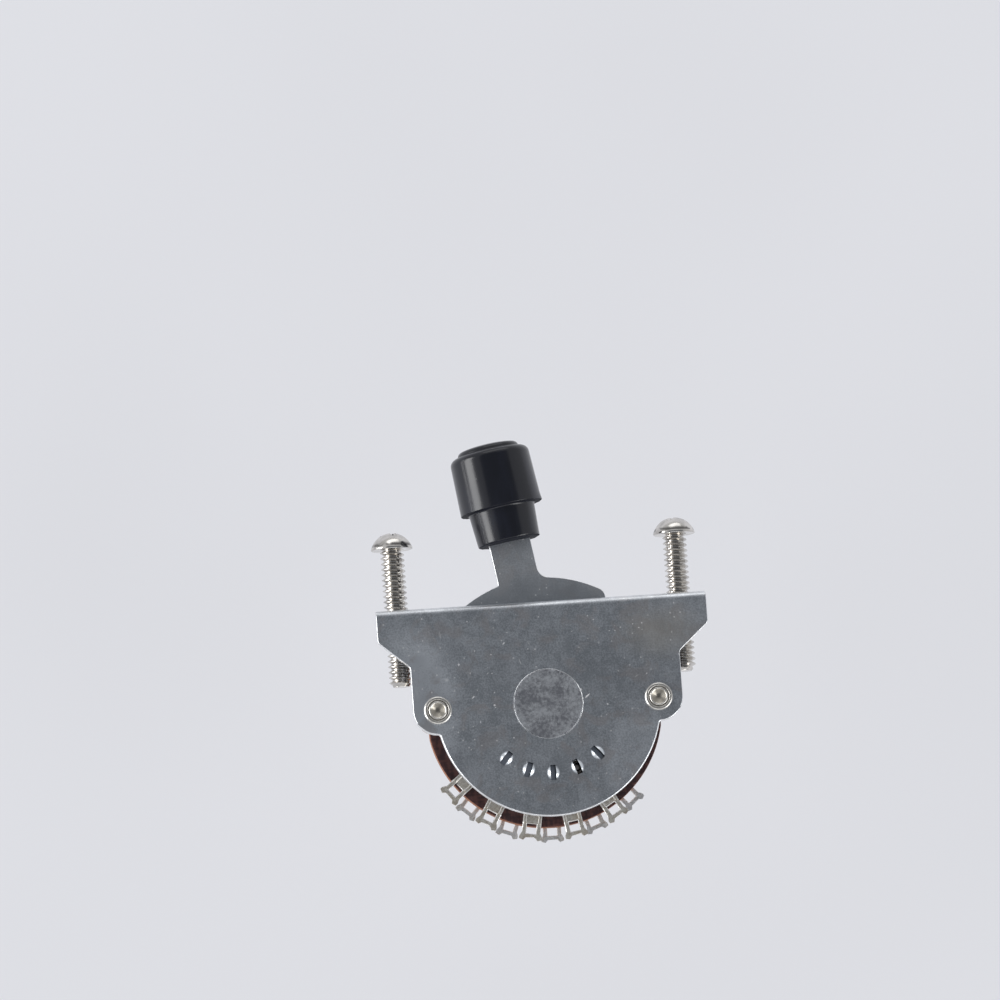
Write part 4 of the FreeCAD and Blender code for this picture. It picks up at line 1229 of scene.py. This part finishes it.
class SWITCH_OT_spring(Operator):
    """Dress the index spring and its rivets"""

    bl_idname = "switch.spring"
    bl_label = "Index spring"

    def execute(self, context):
        hub = context.scene.switch_hub
        bm = softened("index_spring", hub.spring_round, segments=2, least=40)
        strip = [spring_steel(hub)]
        leaf = dress("flat_spring", bm, strip, "lever", "index_spring")
        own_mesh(leaf)
        bm = softened("index_spring_rivets", 0.05 * MM, segments=2, least=35)
        nickel = plated("spring rivet nickel", context.scene.switch_rivets.nickel, 0.24)
        dress("spring_rivets", bm, [nickel], "lever", "index_spring_rivets")
        return {"FINISHED"}


# Stage

# Lamps: name, place, width, height, radiance
LAMPS = (
    ("left lamp", (-1.30, -0.42, -0.05), 0.58, 1.5, 5.4),
    ("left strip", (-1.35, 0.10, -0.05), 0.07, 1.3, 5.0),
    ("right lamp", (1.10, -0.55, -0.75), 0.70, 1.1, 3.0),
    ("top lamp", (0.1, -0.35, 1.3), 1.2, 0.5, 1.0),
    ("low lamp", (-0.1, -0.55, -1.3), 1.2, 0.4, 1.0),
    ("rear lamp", (0.9, 1.1, 0.6), 0.8, 0.8, 1.6),
)
SENSOR = 36  # width of the camera's sensor in its own millimetres
GLOW_SHARE = 0.6  # part of the backdrop that glows


class SWITCH_OT_stage(Operator):
    """Set the camera, the pale backdrop and the soft lamps"""

    bl_idname = "switch.stage"
    bl_label = "Camera, backdrop and lamps"

    def execute(self, context):
        stage = context.scene.switch_stage
        context.scene.view_settings.view_transform = "Standard"
        self.set_camera(context.scene, stage)
        self.hang_backdrop(stage)
        self.hang_card(stage)
        world = bpy.data.worlds.new("surround")
        world.use_nodes = True
        background = world.node_tree.nodes["Background"]
        background.inputs["Color"].default_value = (*stage.surround, 1.0)
        context.scene.world = world
        for lamp in LAMPS:
            self.hang_lamp(*lamp)
        return {"FINISHED"}

    def set_camera(self, scene, stage):
        """Puts the pivot at its place in the square picture."""
        turn, tilt, roll = stage.yaw, stage.pitch, stage.roll
        level_ahead = math.cos(tilt)
        ahead = Vector((math.sin(turn) * level_ahead, math.cos(turn) * level_ahead, math.sin(tilt)))
        level = Vector((math.cos(turn), -math.sin(turn), 0))
        upright = level.cross(ahead)
        up = upright * math.cos(roll) + level * math.sin(roll)
        right = level * math.cos(roll) - upright * math.sin(roll)
        data = bpy.data.cameras.new("camera")
        data.sensor_width = SENSOR
        data.lens = SENSOR * stage.distance / stage.field
        data.clip_start, data.clip_end = 0.05, 20
        target = Vector((PIVOT.x, PLATE_FRONT, PIVOT.z))
        target -= right * (stage.across - 0.5) * stage.field
        target += up * (stage.down - 0.5) * stage.field
        axes = Matrix((right, up, -ahead)).transposed().to_4x4()
        scene.camera = hang("camera", data)
        scene.camera.matrix_world = Matrix.Translation(target - ahead * stage.distance) @ axes

    def hang_sheet(self, name, centre, half, quarter_turns, finish):
        """A flat square for the stage, turned about X."""
        bm = bmesh.new()
        bmesh.ops.create_grid(bm, x_segments=1, y_segments=1, size=half)
        place(bm, Matrix.Rotation(quarter_turns * math.pi / 2, 4, "X"), centre)
        sheet = hang(name, mesh_of(name, bm, finish.material))
        sheet.visible_shadow = False
        return sheet

    def hang_backdrop(self, stage):
        """A pale sheet behind the switch, seen from the front only.

        Part of its paint is a glow for the camera and reflections, and shadows stay.
        """
        finish = Finish("pale backdrop", roughness=0.9)
        finish.shader.inputs["Specular IOR Level"].default_value = 0.0
        drift = finish.remap(finish.cloud(90, detail=2.0), 0.3, 0.7)
        finish.paint(finish.blend(drift, stage.backdrop, scaled(stage.backdrop, 0.93)))
        rays = finish.add("ShaderNodeLightPath").outputs
        kinds = ("Is Camera Ray", "Is Glossy Ray", "Is Transmission Ray")
        seen = finish.times(finish.most(*(rays[kind] for kind in kinds)), GLOW_SHARE)
        pale = self.mixed(finish, seen, finish.shader.outputs[0], self.glow(finish, stage.glow))
        side = finish.add("ShaderNodeNewGeometry").outputs["Backfacing"]
        clear = finish.add("ShaderNodeBsdfTransparent").outputs[0]
        finish.show(self.mixed(finish, side, pale, clear))
        centre = (0, PIVOT.y + stage.backdrop_gap, 0)
        self.hang_sheet("backdrop", centre, 0.26, 1, finish)

    def hang_card(self, stage):
        """A grey card behind the camera, which the bare metal mirrors."""
        finish = Finish("grey card", roughness=1.0)
        finish.show(self.glow(finish, stage.card))
        centre = (0.6, -stage.distance * 1.3, -0.1)
        self.hang_sheet("card", centre, 2.4, -1, finish).visible_camera = False

    def glow(self, finish, light):
        """A shader that gives off a colour."""
        node = finish.add("ShaderNodeEmission")
        finish.feed(node.inputs["Color"], light)
        return node.outputs[0]

    def mixed(self, finish, share, first, second):
        """A shader between two others."""
        node = finish.add("ShaderNodeMixShader")
        for socket, value in zip(node.inputs, (share, first, second)):
            finish.feed(socket, value)
        return node.outputs[0]

    def hang_lamp(self, name, spot, width, height, radiance):
        """A soft rectangular lamp that faces the switch."""
        data = bpy.data.lights.new(name, "AREA")
        data.shape = "RECTANGLE"
        data.size, data.size_y = width, height
        data.energy = radiance * math.pi * width * height
        lamp = hang(name, data)
        facing = (PIVOT - Vector(spot)).to_track_quat("-Z", "Y")
        lamp.matrix_world = Matrix.Translation(spot) @ facing.to_matrix().to_4x4()
        lamp.visible_camera = False


class SWITCH_PT_build(Panel):
    """Steps that build the switch, with their sizes"""

    bl_idname = "SWITCH_PT_build"
    bl_label = "Selector switch"
    bl_space_type = "VIEW_3D"
    bl_region_type = "UI"
    bl_category = "Switch"

    def draw(self, context):
        for operator, settings in STEPS:
            self.layout.operator(operator.bl_idname)
            group = getattr(context.scene, settings)
            for key in group.bl_rna.properties.keys():
                if key not in {"rna_type", "name"}:
                    self.layout.prop(group, key)


SETTINGS = {
    "switch_sheet": SheetMetalSettings,
    "switch_stud": StudSettings,
    "switch_screws": ScrewSettings,
    "switch_rivets": RivetSettings,
    "switch_knob": KnobSettings,
    "switch_wafer": WaferSettings,
    "switch_hub": HubSettings,
    "switch_stage": StageSettings,
}

STEPS = (
    (SWITCH_OT_frame, "switch_sheet"),
    (SWITCH_OT_lever, "switch_sheet"),
    (SWITCH_OT_pivot, "switch_stud"),
    (SWITCH_OT_screws, "switch_screws"),
    (SWITCH_OT_rivets, "switch_rivets"),
    (SWITCH_OT_knob, "switch_knob"),
    (SWITCH_OT_wafer, "switch_wafer"),
    (SWITCH_OT_rotor, "switch_hub"),
    (SWITCH_OT_spring, "switch_hub"),
    (SWITCH_OT_stage, "switch_stage"),
)


def register():
    for name, group in SETTINGS.items():
        bpy.utils.register_class(group)
        setattr(bpy.types.Scene, name, PointerProperty(type=group))
    for operator, _ in STEPS:
        bpy.utils.register_class(operator)
    bpy.utils.register_class(SWITCH_PT_build)


def unregister():
    bpy.utils.unregister_class(SWITCH_PT_build)
    for operator, _ in reversed(STEPS):
        bpy.utils.unregister_class(operator)
    for name, group in reversed(SETTINGS.items()):
        delattr(bpy.types.Scene, name)
        bpy.utils.unregister_class(group)


def main():
    register()
    bpy.ops.switch.frame()
    bpy.ops.switch.lever()
    bpy.ops.switch.pivot()
    bpy.ops.switch.screws()
    bpy.ops.switch.rivets()
    bpy.ops.switch.knob()
    bpy.ops.switch.wafer()
    bpy.ops.switch.rotor()
    bpy.ops.switch.spring()
    bpy.ops.switch.stage()


if __name__ == "__main__":
    main()
